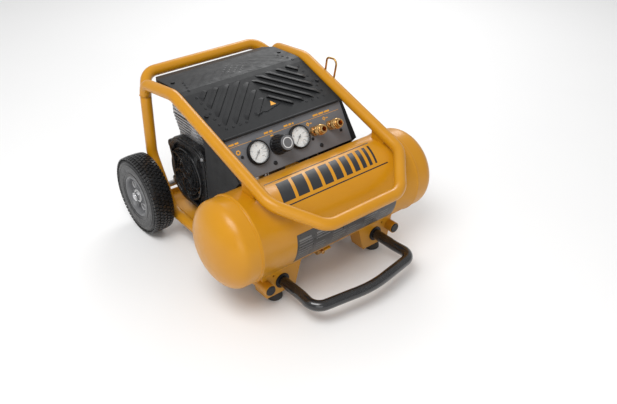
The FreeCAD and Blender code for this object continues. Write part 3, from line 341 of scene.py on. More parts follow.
YELLOW = (0.54, 0.236, 0.004)
SPUN = (1, 1, 12)
paints = {
    "yellow": powder_coat("powder_coat_yellow", YELLOW, (0.46, 0.182, 0.003)),
    "handle": gloss_paint("enamel_black", (0.010, 0.010, 0.011)),
    "motor": gloss_paint("motor_enamel", (0.018, 0.018, 0.020), 0.38),
    "shroud": moulded("shroud_plastic", (0.013, 0.0135, 0.0145), 0.46, 0.20),
    "black": moulded("black_plastic", (0.009, 0.009, 0.010), 0.36),
    "cover": moulded("fan_cover_plastic", (0.011, 0.0115, 0.0125), 0.24, 0.5),
    "panel": powder_coat("panel_coat_grey", (0.15, 0.152, 0.162), (0.115, 0.117, 0.125), 0.40),
    "knob_face": moulded("knob_face_grey", (0.12, 0.12, 0.125), 0.35),
    "white_ring": printed("ring_white", (0.62, 0.62, 0.62)),
    "foot": rubber("foot_rubber", (0.014, 0.014, 0.014)),
    "tyre": rubber("tyre_rubber", (0.0085, 0.0085, 0.009), 0.34, 0.45, 0.03 * MM),
    "rim": moulded("rim_plastic_grey", (0.13, 0.131, 0.135), 0.30),
    "hub": moulded("hub_plastic_light", (0.42, 0.42, 0.42), 0.35),
    "cast": cast_metal("cast_aluminium", (0.58, 0.58, 0.59)),
    "steel": machined("zinc_steel", (0.60, 0.60, 0.61), 0.30, (1, 12, 12)),
    "dark_steel": machined("black_oxide_steel", (0.035, 0.035, 0.037), 0.42, (1, 1, 1)),
    "hook": machined("yellow_zinc", (0.62, 0.36, 0.11), 0.28, (1, 1, 0.2)),
    "tube": machined("drawn_aluminium", (0.72, 0.72, 0.74), 0.28, (0.3, 1, 1)),
    "brass": machined("turned_brass", (0.70, 0.43, 0.17), 0.22, SPUN),
    "dial": printed("dial_card", (0.80, 0.80, 0.78), 0.55),
    "ink": printed("ink_black", (0.014, 0.015, 0.017), 0.35),
    "ink_yellow": printed("ink_yellow", (0.78, 0.36, 0.03)),
    "ink_grey": printed("ink_grey", (0.16, 0.155, 0.15)),
    "label": printed("label_film", (0.040, 0.037, 0.035), 0.32),
    "lens": clear_glass("lens_clear"),
    "lever": moulded("lever_plastic", (0.80, 0.36, 0.03), 0.40),
}


# ---------------------------------------------------------------- mesh building

def circle_points(radius, steps, start=0.0, end=math.tau):
    """Points on an arc; a whole circle doesn't repeat its first point."""
    count = steps if end - start >= math.tau - 1e-6 else steps + 1
    return [Vector((radius * math.cos(start + (end - start) * index / steps),
                    radius * math.sin(start + (end - start) * index / steps))) for index in range(count)]


def rounded_outline(width, height, radius, steps=6):
    """A rectangle about the origin with round corners, anticlockwise."""
    points = []
    for quarter, (sign_x, sign_y) in enumerate(((1, 1), (-1, 1), (-1, -1), (1, -1))):
        centre = Vector((sign_x * (width / 2 - radius), sign_y * (height / 2 - radius)))
        start = quarter * math.pi / 2
        points += [centre + spot for spot in circle_points(radius, steps, start, start + math.pi / 2)]
    return points


def skin(bm, rings, wrap=False):
    """Faces between rings of vertices; a ring of one vertex closes to a point."""
    pairs = list(zip(rings, rings[1:]))
    if wrap:
        pairs.append((rings[-1], rings[0]))
    for low, high in pairs:
        count = max(len(low), len(high))
        for index in range(count):
            after = (index + 1) % count
            corners = []
            for ring, spot in ((low, index), (low, after), (high, after), (high, index)):
                vertex = ring[spot % len(ring)]
                if vertex not in corners:
                    corners.append(vertex)
            bm.faces.new(corners)


def add_lathe(bm, profile, matrix, steps=64, closed=False, shape=None):
    """Turn (radius, height) pairs about the matrix's Z axis; shape may change each radius by its angle."""
    rings = []
    for radius, height in profile:
        if radius == 0:
            rings.append([bm.verts.new(matrix @ Vector((0, 0, height)))])
            continue
        ring = []
        for index in range(steps):
            angle = math.tau * index / steps
            reached = shape(radius, height, angle) if shape else radius
            spot = Vector((reached * math.cos(angle), reached * math.sin(angle), height))
            ring.append(bm.verts.new(matrix @ spot))
        rings.append(ring)
    skin(bm, rings, closed)


def add_sweep(bm, points, radius, steps=16, loop=False):
    """A round rod along points; radius is one number or a function of how far along, from 0 to 1."""
    points = [Vector(point) for point in points]
    count = len(points)
    side = None
    rings = []
    for index, point in enumerate(points):
        before = points[index - 1] if loop or index > 0 else point
        after = points[(index + 1) % count] if loop or index < count - 1 else point
        ahead = (after - before).normalized()
        if side is None:
            side = ahead.orthogonal().normalized()
        side = (side - ahead * side.dot(ahead)).normalized()
        other = ahead.cross(side)
        size = radius(index / (count - 1)) if callable(radius) else radius
        rings.append([bm.verts.new(point + side * spot.x + other * spot.y)
                      for spot in circle_points(size, steps)])
    skin(bm, rings, loop)
    if not loop:
        bm.faces.new(reversed(rings[0]))
        bm.faces.new(rings[-1])


def add_plate(bm, outline, matrix, low, high, holes=()):
    """A flat plate between two heights of the matrix, from an outline with optional holes."""
    edges = []
    for loop in [outline, *holes]:
        ring = [bm.verts.new(Vector((spot[0], spot[1], low))) for spot in loop]
        edges += [bm.edges.new((ring[index], ring[(index + 1) % len(ring)])) for index in range(len(ring))]
    filled = bmesh.ops.triangle_fill(bm, edges=edges, use_beauty=True)
    faces = [item for item in filled["geom"] if isinstance(item, bmesh.types.BMFace)]
    inner = list(dict.fromkeys(edge for face in faces for edge in face.edges))
    bmesh.ops.dissolve_limit(bm, angle_limit=0.01, verts=[], edges=inner)
    faces = list(dict.fromkeys(face for edge in edges if edge.is_valid for face in edge.link_faces))
    raised = bmesh.ops.extrude_face_region(bm, geom=faces)["geom"]
    top = [item for item in raised if isinstance(item, bmesh.types.BMVert)]
    bmesh.ops.translate(bm, verts=top, vec=(0, 0, high - low))
    base = [vertex for face in faces for vertex in face.verts]
    for vertex in dict.fromkeys(base + top):
        vertex.co = matrix @ vertex.co


def add_block(bm, matrix, size, taper=0.0):
    """A box on the matrix's XY plane, size (x, y, z), whose top may draw in by taper on each side."""
    half_x, half_y = size[0] / 2, size[1] / 2
    rings = []
    for height, inset in ((0, 0), (size[2], taper)):
        spots = ((1, 1), (-1, 1), (-1, -1), (1, -1))
        rings.append([bm.verts.new(matrix @ Vector((x * (half_x - inset), y * (half_y - inset), height)))
                      for x, y in spots])
    skin(bm, rings)
    bm.faces.new(reversed(rings[0]))
    bm.faces.new(rings[1])


def add_patch(bm, surface, columns, rows, thickness):
    """A thin closed film over a surface(across, up, lift), with across and up running from 0 to 1."""
    layers = []
    for lift in (0.0, thickness):
        layers.append([[bm.verts.new(surface(column / columns, row / rows, lift))
                        for column in range(columns + 1)] for row in range(rows + 1)])
    bottom, top = layers
    for row in range(rows):
        for column in range(columns):
            corners = ((row, column), (row, column + 1), (row + 1, column + 1), (row + 1, column))
            bm.faces.new([top[r][c] for r, c in corners])
            bm.faces.new([bottom[r][c] for r, c in reversed(corners)])
    rim = [(0, column) for column in range(columns)] + [(row, columns) for row in range(rows)]
    rim += [(rows, column) for column in range(columns, 0, -1)] + [(row, 0) for row in range(rows, 0, -1)]
    for (row, column), (next_row, next_column) in zip(rim, rim[1:] + rim[:1]):
        bm.faces.new([bottom[row][column], bottom[next_row][next_column], top[next_row][next_column],
                      top[row][column]])


def shade(item):
    """Smooth shading, with edges sharper than 32 degrees kept crisp."""
    item.data.polygons.foreach_set("use_smooth", [True] * len(item.data.polygons))
    item.data.set_sharp_from_angle(angle=math.radians(32))


def soften(item, width):
    """A bevel on every sharp edge, so that the edges catch the light."""
    bevel = item.modifiers.new("soft_edges", "BEVEL")
    bevel.width = width
    bevel.segments = 2
    bevel.limit_method = "ANGLE"
    bevel.angle_limit = math.radians(35)
    bevel.harden_normals = False


def piece(name, bm, paint, body="root", stands_for=(), like=None, edge=0.0):
    """Make the mesh an object that rides on a CAD body, and hide the CAD nodes it stands for."""
    bmesh.ops.recalc_face_normals(bm, faces=bm.faces)
    mesh = bpy.data.meshes.new(name)
    bm.to_mesh(mesh)
    bm.free()
    item = bpy.data.objects.new(name, mesh)
    bpy.context.scene.collection.objects.link(item)
    mesh.materials.append(paints[paint])
    shade(item)
    if edge:
        soften(item, edge)
    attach(item, body)
    if stands_for:
        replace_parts(item, *stands_for)
        like = like or stands_for[0]
    return item


# ---------------------------------------------------------------- carried-over CAD nodes

def finish_cad():
    """Give each CAD node that stays its own material; thin bevels make its edges catch the light."""
    kept = (
        ("yellow", 0.0, "tank_shell tank_head_left tank_head_right roll_bar_rear roll_bar_front"),
        ("yellow", 0.8, "front_brackets handle_guide_channel pump_base_plate axle_plates"),
        ("handle", 0.0, "pull_handle"),
        ("foot", 0.6, "rubber_feet"),
        ("black", 0.4, "rail_plugs handle_bushes handle_end_stops cooling_fan intake_filter cord_gland"),
        ("black", 0.5, "switch_lever pressure_switch"),
        ("shroud", 1.2, "shroud_cover"),
        ("panel", 0.6, "control_panel"),
        ("rim", 0.5, "rim_left rim_right"),
        ("steel", 0.3, "axle axle_nuts crankshaft shaft_bearings safety_valve_ring"),
        ("dark_steel", 0.4, "cover_screws"),
        ("hook", 0.0, "cord_hook"),
        ("cast", 0.6, "crankcase piston connecting_rod air_manifold"),
        ("tube", 0.0, "discharge_tube unloader_tube"),
        ("brass", 0.3, "coupler_bodies safety_valve check_valve drain_valve regulator_body"),
        ("motor", 0.6, "motor_housing motor_stator motor_rotor"),
        ("dial", 0.0, "gauge_dials"),
        ("ink", 0.0, "gauge_needle_left gauge_needle_right"),
        ("lens", 0.0, "gauge_lenses"),
        ("lever", 0.5, "drain_lever"),
    )
    for paint, edge, names in kept:
        for name in names.split():
            item = frame["nodes"][name]
            for place in item.material_slots:
                place.material = paints[paint]
            weld = item.modifiers.new("joined", "WELD")
            weld.merge_threshold = 0.001 * MM
            if edge:
                soften(item, edge * MM)


# ---------------------------------------------------------------- tank

def add_bead(bm, points, size, ripples, loop=True):
    """A weld bead: a thin rod whose thickness ripples along its length."""
    def thickness(along):
        return size * (1 + 0.14 * math.sin(math.tau * ripples * along) + 0.06 * math.sin(17 * along))
    add_sweep(bm, points, thickness, 8, loop)


def dress_tank():
    """Weld beads at both heads, two pin stripes with slanted bars between them, and a printed label."""
    bm = bmesh.new()
    for _, sign in SIDES:
        ring = [on_tank(sign * (TANK_SEAM + 1.2 * MM), 360 * index / 300) for index in range(300)]
        add_bead(bm, ring, 1.5 * MM, 110)
    piece("tank_weld_beads", bm, "yellow", like="tank_shell")

    film = 0.25 * MM
    left, right = -146 * MM, 156 * MM

    def band(x_start, x_end, angle_start, angle_end, slant=0.0):
        def surface(across, up, lift):
            x = x_start + (x_end - x_start) * across + slant * up
            return on_tank(x, angle_start + (angle_end - angle_start) * up, lift)
        return surface

    bm = bmesh.new()
    for angle in (-3.4, 38.4):
        add_patch(bm, band(left, right, angle, angle + 1.5), 40, 2, film)
    piece("tank_pin_stripes", bm, "ink")

    bm = bmesh.new()
    start, low, high = left + 6 * MM, 34.0, 3.5
    width, gap, narrowing, slant = 33 * MM, 8.6 * MM, 3.05 * MM, 16 * MM
    for index in range(10):
        size = width - narrowing * index
        add_patch(bm, band(start, start + size, low, high, slant), 6, 24, film)
        start += size + gap
    piece("tank_speed_bars", bm, "ink")

    bm = bmesh.new()
    top, bottom = 77.0, 123.0
    add_patch(bm, band(left + 7 * MM, right, top, bottom), 30, 30, film)
    piece("tank_label", bm, "label")

    bm = bmesh.new()
    random.seed(5)
    columns = 6
    step = (right - left - 15 * MM) / columns
    for column in range(columns):
        x_start = left + 12 * MM + step * column
        for row in range(9):
            if row == 0 or (row == 4 and column % 2):
                continue
            angle = top + 3.4 + 4.4 * row
            length = (step - 8 * MM) * (0.55 + 0.45 * random.random())
            height = 2.6 if row == 1 else 1.1
            add_patch(bm, band(x_start, x_start + length, angle, angle + height), 6, 1, 2 * film)
    piece("tank_label_lines", bm, "ink_grey")


def dress_cage():
    """Weld beads where the front loop's ends come down onto the legs of the rear hoop."""
    knee = CAGE_KNEE
    leg_lean = 0.16
    bm = bmesh.new()
    for _, sign in SIDES:
        ring = [Vector((sign * knee.x + spot.x, knee.y + spot.y, knee.z - leg_lean * spot.y))
                for spot in circle_points(CAGE_TUBE + 0.2 * MM, 60)]
        add_bead(bm, ring, 1.0 * MM, 22)
    piece("cage_weld_beads", bm, "yellow", like="roll_bar_front")


# ---------------------------------------------------------------- wheels

def wheel_parts(side, sign):
    """A tyre with moulded tread blocks and sidewall ribs, and ribs and a hub face on the CAD rim."""
    low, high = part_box(f"tyre_{side}")
    centre = (low + high) / 2
    radius = (high.z - low.z) / 2
    width = high.x - low.x
    centre.x = low.x if sign > 0 else high.x
    out = facing(centre, (sign, 0, 0))
    body = f"wheel_{side}"

    # The sidewall's outline drawn for a reach of 46 mm above the bead seat, then stretched to this tyre.
    half = [(53, 4), (53.6, 2.6), (56, 1.8), (60, 1.5), (60.8, 0.5), (62.6, 0.5), (63.4, 1.4), (68, 0.9),
            (74, 0.6), (79, 0.9), (80, 0.1), (82.4, 0.1), (83.4, 1.5), (87, 2.4), (90.5, 4.2), (93, 7),
            (94.6, 10), (95.4, 14), (95.8, 20)]
    seat, drawn_reach = 53.0, 46.0
    grow = (radius / MM - seat) / drawn_reach
    half = mm(*((seat + (r - seat) * grow, depth) for r, depth in half))
    profile = [(r, width - depth) for r, depth in half] + list(reversed(half))
    bm = bmesh.new()
    add_lathe(bm, profile, out, 120, closed=True)

    def crown(across):
        """The tread's outer radius at a place across the tyre."""
        return radius - 2.6 * MM * abs(2 * across / width - 1) ** 3

    pitches = 64
    step = width / MM / 6
    rows = ((0.85, 10.6, 0.0), (1.98, 8.6, 0.5), (3.0, 8.2, 0.0), (4.02, 8.6, 0.5), (5.15, 10.6, 0.0))
    for row, (place_across, block_width, offset) in enumerate(rows):
        across = place_across * step
        lean = 0.10 * (1 if row % 2 else -1)
        for index in range(pitches):
            corners = []
            for level, share in ((-3.4 * MM, 0.80), (0.0, 0.70)):
                ring = []
                for side_a, side_w in ((-1, -1), (1, -1), (1, 1), (-1, 1)):
                    inset = 0.0 if level else 0.35
                    place = (across + side_w * (block_width / 2 - inset)) * MM
                    turn = math.tau / pitches * (index + offset + side_a * share / 2 + lean * side_w)
                    reached = crown(place) + level
                    spot = Vector((reached * math.cos(turn), reached * math.sin(turn), place))
                    ring.append(bm.verts.new(out @ spot))
                corners.append(ring)
            skin(bm, corners)
            bm.faces.new(reversed(corners[0]))
            bm.faces.new(corners[1])
    lugs = 58
    for face, way in ((width - 1.9 * MM, 1), (1.9 * MM, -1)):
        for index in range(lugs):
            turn = spun(index, lugs)
            tilt = Matrix.Rotation(-way * 0.42, 4, "Y")
            place = out @ turn @ Matrix.Translation((radius - 10.2 * MM, 0, face - way * 1.2 * MM)) @ tilt
            flip = Matrix() if way > 0 else Matrix.Rotation(math.pi, 4, "X")
            add_block(bm, place @ flip, (6.5 * MM, 2.6 * MM, 1.5 * MM), 0.3 * MM)
    piece(f"tyre_{side}_tread", bm, "tyre", body, (f"tyre_{side}",), edge=0.25 * MM)

    bm = bmesh.new()
    web = width - 16 * MM
    for index in range(WHEEL_LIGHTENING_HOLES):
        turn = Matrix.Rotation(math.tau * (index + 0.5) / WHEEL_LIGHTENING_HOLES, 4, "Z")
        place = out @ turn @ Matrix.Translation((30.5 * MM, 0, web - 1 * MM))
        add_block(bm, place, (24 * MM, 3.4 * MM, 4.4 * MM), 0.5 * MM)
    for ring, rise in ((44.6, 3.0), (21.5, 3.6)):
        lip = [((ring - 1.4) * MM, web - 1 * MM), ((ring + 1.4) * MM, web - 1 * MM),
               ((ring + 1.0) * MM, web + rise * MM), ((ring - 1.0) * MM, web + rise * MM)]
        add_lathe(bm, lip, out, 72, closed=True)
    piece(f"rim_{side}_ribs", bm, "rim", body, like=f"rim_{side}", edge=0.4 * MM)

    bm = bmesh.new()
    for index in range(WHEEL_LIGHTENING_HOLES):
        turn = spun(index, WHEEL_LIGHTENING_HOLES)
        eye = out @ turn @ Matrix.Translation((32 * MM, 0, web - 1 * MM))
        add_lathe(bm, mm((8.2, 0), (10.0, 0), (9.7, 3.2), (8.5, 3.2)), eye, 28, closed=True)
    bore = 8.3
    hub_end = width - 8 * MM
    face = [(bore * MM, hub_end - 9 * MM), (17.6 * MM, hub_end - 9 * MM), (17.2 * MM, hub_end - 1 * MM),
            (16.4 * MM, hub_end + 0.3 * MM), (13.4 * MM, hub_end + 0.3 * MM), (bore * MM, hub_end + 0.1 * MM)]
    add_lathe(bm, face, out, 48, closed=True)
    piece(f"rim_{side}_hub_face", bm, "hub", body, like=f"rim_{side}", edge=0.3 * MM)


# ---------------------------------------------------------------- pump

def fin_outline(half_x, half_y, corner, notch=0.0):
    """A cooling fin seen from above, with a shallow waist on its long sides."""
    points = rounded_outline(2 * half_x, 2 * half_y, corner, 5)
    return [Vector((spot.x * (1 - notch * math.cos(spot.y / half_y * math.pi / 2) ** 2), spot.y))
            for spot in points]


def dress_pump():
    """Cast fins with round corners that widen towards the head, a ribbed head with a gasket, and bolts."""
    low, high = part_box("cylinder")
    centre = Vector(((low.x + high.x) / 2, middle("piston").y, 0))
    half_x = (high.x - low.x) / 2
    front = low.y - centre.y
    rear = high.y - centre.y
    bore = 33.2 * MM
    bm = bmesh.new()
    barrel = [(bore, low.z), (42 * MM, low.z), (40 * MM, low.z + 4 * MM), (40 * MM, high.z), (bore, high.z)]
    add_lathe(bm, barrel, Matrix.Translation(centre), 64, closed=True)
    hole = circle_points(39 * MM, 40)

    def add_fin(share, height, thickness, start):
        """One fin; share runs from 0 at the bottom, the smallest, to 1 at the head."""
        end = rear - 18 * MM * (1 - share)
        shift = Vector((0, (start + end) / 2))
        outline = fin_outline(half_x * (0.93 + 0.07 * share), (end - start) / 2, 15 * MM, 0.05)
        outline = [spot + shift for spot in outline]
        add_plate(bm, outline, Matrix.Translation(centre), height, height + thickness, [hole])

    flange = 13 * MM
    add_fin(0.0, low.z, flange, front + 10 * MM)
    count = 7
    pitch = (high.z - low.z - flange - 4 * MM) / count
    for index in range(count):
        add_fin(index / (count - 1), low.z + flange + 4 * MM + pitch * index, 2.7 * MM, front)
    for sign_x in (-1, 1):
        for place_y in (0.62 * front, 0.55 * rear):
            spot = centre + Vector((sign_x * half_x * 0.70, place_y, low.z))
            tower = [(0, 0), (6.5 * MM, 0), (5.6 * MM, high.z - low.z), (0, high.z - low.z)]
            add_lathe(bm, tower, Matrix.Translation(spot), 20)
    piece("cylinder_fins", bm, "cast", stands_for=("cylinder",), edge=0.5 * MM)

    low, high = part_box("cylinder_head")
    half_y = (high.y - low.y) / 2
    centre.y = (low.y + high.y) / 2
    bm = bmesh.new()
    at = Matrix.Translation(centre)
    flange = fin_outline(half_x, half_y, 14 * MM)
    inner = fin_outline(half_x - 3.5 * MM, half_y - 3.5 * MM, 12 * MM)
    add_plate(bm, flange, at, low.z + 0.4 * MM, low.z + 6 * MM)
    add_plate(bm, inner, at, low.z + 6 * MM, low.z + 8.2 * MM)
    add_plate(bm, flange, at, low.z + 8.2 * MM, low.z + 15 * MM)
    ribs = 7
    for index in range(ribs):
        across = centre.x + half_x * 0.84 * (2 * index / (ribs - 1) - 1)
        shorter = 1 - 0.09 * abs(2 * index / (ribs - 1) - 1) ** 2
        place = Matrix.Translation((across, centre.y, low.z + 15 * MM))
        add_block(bm, place, (3.2 * MM, 2 * half_y * 0.93 * shorter, high.z - low.z - 15 * MM), 0.5 * MM)
    piece("cylinder_head_ribbed", bm, "cast", stands_for=("cylinder_head",), edge=0.6 * MM)

    bm = bmesh.new()
    gasket = fin_outline(half_x - 1 * MM, half_y - 1 * MM, 13 * MM)
    add_plate(bm, gasket, at, low.z - 0.8 * MM, low.z + 0.4 * MM)
    piece("head_gasket", bm, "ink", like="intake_filter")

    bm = bmesh.new()
    for sign_x in (-1, 1):
        for place_y in (-0.66, 0.0, 0.66):
            spot = centre + Vector((sign_x * half_x * 0.70, place_y * half_y, low.z + 15 * MM))
            add_lathe(bm, mm((0, 0), (7, 0), (7, 1.2), (0, 1.2)), Matrix.Translation(spot), 28)
            add_lathe(bm, mm((0, 1.2), (5, 1.2), (5, 6), (0, 6)), Matrix.Translation(spot), 6)
    piece("head_bolts_hex", bm, "steel", stands_for=("head_bolts",), edge=0.4 * MM)


def spiral_vane(bm, hub, inner, outer, twist, start, matrix, low, high, thick):
    """A curved fan-guard vane from the hub to the rim, standing between two heights."""
    steps = 12
    rings = []
    for index in range(steps + 1):
        share = index / steps
        radius = inner + (outer - inner) * share
        angle = start + twist * share ** 1.4
        spot = Vector((hub[0] + radius * math.cos(angle), hub[1] + radius * math.sin(angle)))
        slope = angle + math.pi / 2 - 0.35 * twist * share
        side = Vector((math.cos(slope), math.sin(slope))) * thick / 2
        ring = [bm.verts.new(matrix @ Vector((spot.x + side.x * way, spot.y + side.y * way, height)))
                for way, height in ((-1, low), (1, low), (1, high), (-1, high))]
        rings.append(ring)
    skin(bm, rings)
    bm.faces.new(reversed(rings[0]))
    bm.faces.new(rings[-1])


def cover_outline(grow=0.0):
    """The fan cover from outside, front to the right: an eight-cornered shape with every corner round."""
    corners = ((-85, 50, 20), (-46, 86, 26), (58, 88, 30), (88, 60, 26), (88, -46, 26), (54, -87, 30),
               (-38, -87, 30), (-75, -60, 26), (-75, 14, 24))
    points = []
    count = len(corners)
    for index, (x, y, radius) in enumerate(corners):
        corner = Vector((x, y)) * MM
        before = Vector(corners[index - 1][:2]) * MM
        after = Vector(corners[(index + 1) % count][:2]) * MM
        for share in (0.0, 0.25, 0.5, 0.75, 1.0):
            near = corner + (before - corner).normalized() * radius * MM * 0.6 * (1 - share) ** 2
            points.append(near + (after - corner).normalized() * radius * MM * 0.6 * share ** 2)
    points = [spot + spot.normalized() * grow for spot in points]
    return list(reversed(points))


def dress_fan_cover():
    """A deep moulded frame, a recessed guard of vanes, rings and swirling arms, lugs and bolts."""
    low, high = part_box("fan_cover")
    face = facing((low.x, (low.y + high.y) / 2, (low.z + high.z) / 2), (-1, 0, 0))
    depth = high.x - low.x
    bm = bmesh.new()
    outer = cover_outline()
    opening = cover_outline(-15 * MM)
    step = cover_outline(-9 * MM)
    add_plate(bm, outer, face, -depth, -6 * MM, [cover_outline(-4 * MM)])
    add_plate(bm, outer, face, -6 * MM, -2.5 * MM, [step])
    add_plate(bm, cover_outline(-5 * MM), face, -2.5 * MM, 0, [opening])
    for x, y, size in ((-74, 50, 13), (79, -58, 8), (-72, -50, 11), (74, 70, 8)):
        lug = [(0, -depth), (size * MM, -depth)] + mm((size, -3), (size - 1.5, -1.5), (0, -1.5))
        add_lathe(bm, lug, face @ moved(x, y, 0), 32)
    piece("fan_cover_frame", bm, "cover", stands_for=("fan_cover",), edge=0.9 * MM)

    bm = bmesh.new()
    hub = (-14 * MM, -10 * MM)
    hub_face = face @ Matrix.Translation((hub[0], hub[1], 0))
    cap = mm((0, -9), (15, -9), (15, -3.5), (12, -2), (9, -2), (8, -3), (0, -3))
    add_lathe(bm, cap, hub_face, 40)
    for radius in (28, 41, 54):
        ring = mm((radius - 1.5, -9), (radius + 1.5, -9), (radius + 1.0, -3), (radius - 1.0, -3))
        add_lathe(bm, ring, hub_face, 72, closed=True)
    vanes = 26
    for index in range(vanes):
        start = math.tau * index / vanes
        spiral_vane(bm, hub, 13 * MM, 66 * MM, 0.95, start, face, -9.5 * MM, -5 * MM, 2.6 * MM)
    rim = mm((64, -13), (68.5, -13), (68.5, -3.5), (66, -2.5), (64, -4))
    add_lathe(bm, rim, hub_face, 80, closed=True)
    arms = 5
    for index in range(arms):
        start = 0.35 + math.tau * index / arms
        spiral_vane(bm, hub, 10 * MM, 70 * MM, 0.9, start, face, -9.5 * MM, -0.8 * MM, 7.5 * MM)
    backing = cover_outline(-6 * MM)
    ring_hole = [Vector(hub) + spot for spot in circle_points(66 * MM, 48)]
    add_plate(bm, backing, face, -13 * MM, -10.5 * MM, [ring_hole])
    for offset in (0, 7, 14):
        rib = face @ moved(48 + offset, 50, -10.5)
        rib = rib @ Matrix.Rotation(-0.25, 4, "Z")
        add_block(bm, rib, (2.4 * MM, (34 - offset) * MM, 8 * MM), 0.4 * MM)
    piece("fan_cover_guard", bm, "cover", like="fan_cover", edge=0.35 * MM)

    bm = bmesh.new()
    for x, y in ((79, -58), (-72, -50), (74, 70)):
        spot = face @ moved(x, y, -1.6)
        add_lathe(bm, mm((0, 0), (4.6, 0), (4.6, 1.4), (0, 1.4)), spot, 24)
        add_lathe(bm, mm((0, 1.3), (3.2, 1.3), (3.2, 2.9), (0, 2.9)), spot, 6)
    piece("fan_cover_screws", bm, "steel", like="axle_nuts", edge=0.3 * MM)


# ---------------------------------------------------------------- shroud

def add_louvre(bm, start, end, lip_side, surface, rise, reach_back, overhang):
    """A pressed hood over the line from start to end, rising towards its lip; places are (across, up)."""
    start, end = Vector(start), Vector(end)
    along = (end - start).normalized()
    ahead = Vector((-along.y, along.x)) * lip_side
    start += ahead * overhang - along * overhang
    length = (end - start).dot(along) + overhang
    section = ((-1.0, 0.0), (-0.72, 0.42), (-0.38, 0.86), (-0.08, 1.0), (0.04, 1.0),
               (0.04, 0.84), (-0.30, 0.68), (-0.56, 0.30), (-0.68, 0.0))
    rings = []
    steps = 12
    for index in range(steps + 1):
        share = index / steps
        near_end = min(share, 1 - share) * length / (5 * MM)
        swell = math.sqrt(1 - (1 - min(1.0, near_end)) ** 2)
        centre = start + along * length * share
        ring = []
        for back, up in section:
            spot = centre + ahead * back * reach_back * (0.45 + 0.55 * swell)
            ring.append(bm.verts.new(surface(spot.x, spot.y, (0.02 + 0.98 * swell) * up * rise - 0.15 * MM)))
        rings.append(ring)
    skin(bm, rings)
    bm.faces.new(reversed(rings[0]))
    bm.faces.new(rings[-1])


def louvre_rows():
    """The ends of each louvre on the right half: they run at 45 degrees, in a chevron with the left half."""
    near, far = 5 * MM, 137 * MM
    first, step = 82.5 * MM, 30.3 * MM
    fields = ((31 * MM, 150 * MM, range(0, 7), True), (172 * MM, 236 * MM, range(4, 11), False))
    for low, high, numbers, open_slot in fields:
        for number in numbers:
            total = first + step * number
            inner = max(near, total - high)
            outer = min(far, total - low)
            if outer - inner > 9 * MM:
                yield (inner, total - inner), (outer, total - outer), open_slot


def dress_shroud():
    """Pressed louvres in a chevron over black baffles that stand in for the shade inside the open slots, dimples
    and a cluster of holes whose dark is painted shade on flat black discs, ridges, a marker.
    """
    bm = bmesh.new()
    slot_shade_baffles = bmesh.new()
    for start, end, open_slot in louvre_rows():
        for sign in (-1, 1):
            first = (sign * start[0], start[1])
            last = (sign * end[0], end[1])
            lip_side = -1 if sign > 0 else 1
            if not open_slot:
                add_louvre(bm, first, last, lip_side, on_shroud, 0.45 * MM, 7 * MM, 1 * MM)
                continue
            rise = 3.8 * MM if sign > 0 else 2.2 * MM
            add_louvre(bm, first, last, lip_side, on_shroud, rise, 12 * MM, 0.8 * MM)
            # A black baffle under each open slot: painted shade, partly real black plastic, so the slot reads as
            # dark as the shade inside the shroud.
            seat = shroud_seat((first[0] + last[0]) / 2, (first[1] + last[1]) / 2, -8 * MM)
            seat = seat @ Matrix.Rotation(math.radians(-45 * sign), 4, "Z")
            length = (Vector(last) - Vector(first)).length + 4 * MM
            add_block(slot_shade_baffles, seat, (length, 8 * MM, 4.8 * MM))
    piece("shroud_louvres", bm, "shroud", like="shroud_cover")
    piece("shroud_louvre_shade_baffles", slot_shade_baffles, "black", like="shroud_cover")

    # The vent holes are flat black discs, not openings: their dark is painted shade.
    rims, holes = bmesh.new(), bmesh.new()
    dimples = [(-147, 44 + 19 * index) for index in range(6)]
    dimples += [(-140 + 18 * index, 26) for index in range(4)]
    dimples += [(-150 + 4 * index, 168 + 15 * index) for index in range(4)]
    rim = mm((1.7, -0.4), (3.4, -0.2), (2.9, 0.7), (2.2, 0.9), (1.7, 0.5))
    for x, run in dimples:
        for sign in (-1, 1):
            spot = shroud_seat(sign * x * MM, run * MM)
            add_lathe(rims, rim, spot, 20, closed=True)
            # A dark disc inside each dimple rim: painted shade of a hole.
            add_lathe(holes, mm((0, -0.3), (2.0, -0.3), (2.0, 0.25), (0, 0.1)), spot, 16)
    cluster, spacing = 4, 9.5
    for row in range(cluster):
        for column in range(cluster):
            spot = shroud_seat((column - row) * spacing * MM, (182 + (column + row) * spacing) * MM)
            # A cluster of dark discs: painted shade in place of open holes.
            add_lathe(holes, mm((0, -0.3), (2.6, -0.3), (2.4, 0.35), (0, 0.2)), spot, 16)
    piece("shroud_vent_rims", rims, "shroud", like="shroud_cover")
    piece("shroud_vent_hole_shade", holes, "ink", like="shroud_cover")

    bm = bmesh.new()
    ridge = [on_shroud(x * MM, run * MM, 0.2 * MM) for x, run in
             ((48, 52), (20, 46), (-10, 39), (-22, 36), (-27, 37), (-30, 40))]
    add_sweep(bm, ridge, 0.9 * MM, 8)
    slot_line = [on_shroud(x * MM, run * MM, 0.3 * MM)
                 for x, run in ((-50, 38), (-44, 36.5), (-38, 37), (-34, 39))]
    add_sweep(bm, slot_line, 1.9 * MM, 10)
    nose = [Vector((x * MM, SLOPE_FOOT.y - 3.0 * MM, SLOPE_FOOT.z - 1.2 * MM))
            for x in range(-166, 167, 12)]
    add_sweep(bm, nose, 3.4 * MM, 14)
    piece("shroud_ridges", bm, "shroud", like="shroud_cover")

    bm = bmesh.new()
    outline = [spot * 8.5 * MM for spot in (Vector((0, 1)), Vector((-0.9, -0.62)), Vector((0.9, -0.62)))]
    add_plate(bm, outline, shroud_seat(5 * MM, 54 * MM), -0.2 * MM, 0.35 * MM)
    piece("shroud_marker", bm, "ink_yellow", edge=0.1 * MM)


# ---------------------------------------------------------------- control panel

def add_ring(bm, matrix, inner, outer, low, high, steps=48):
    add_lathe(bm, [(inner, low), (outer, low), (outer, high), (inner, high)], matrix, steps, closed=True)


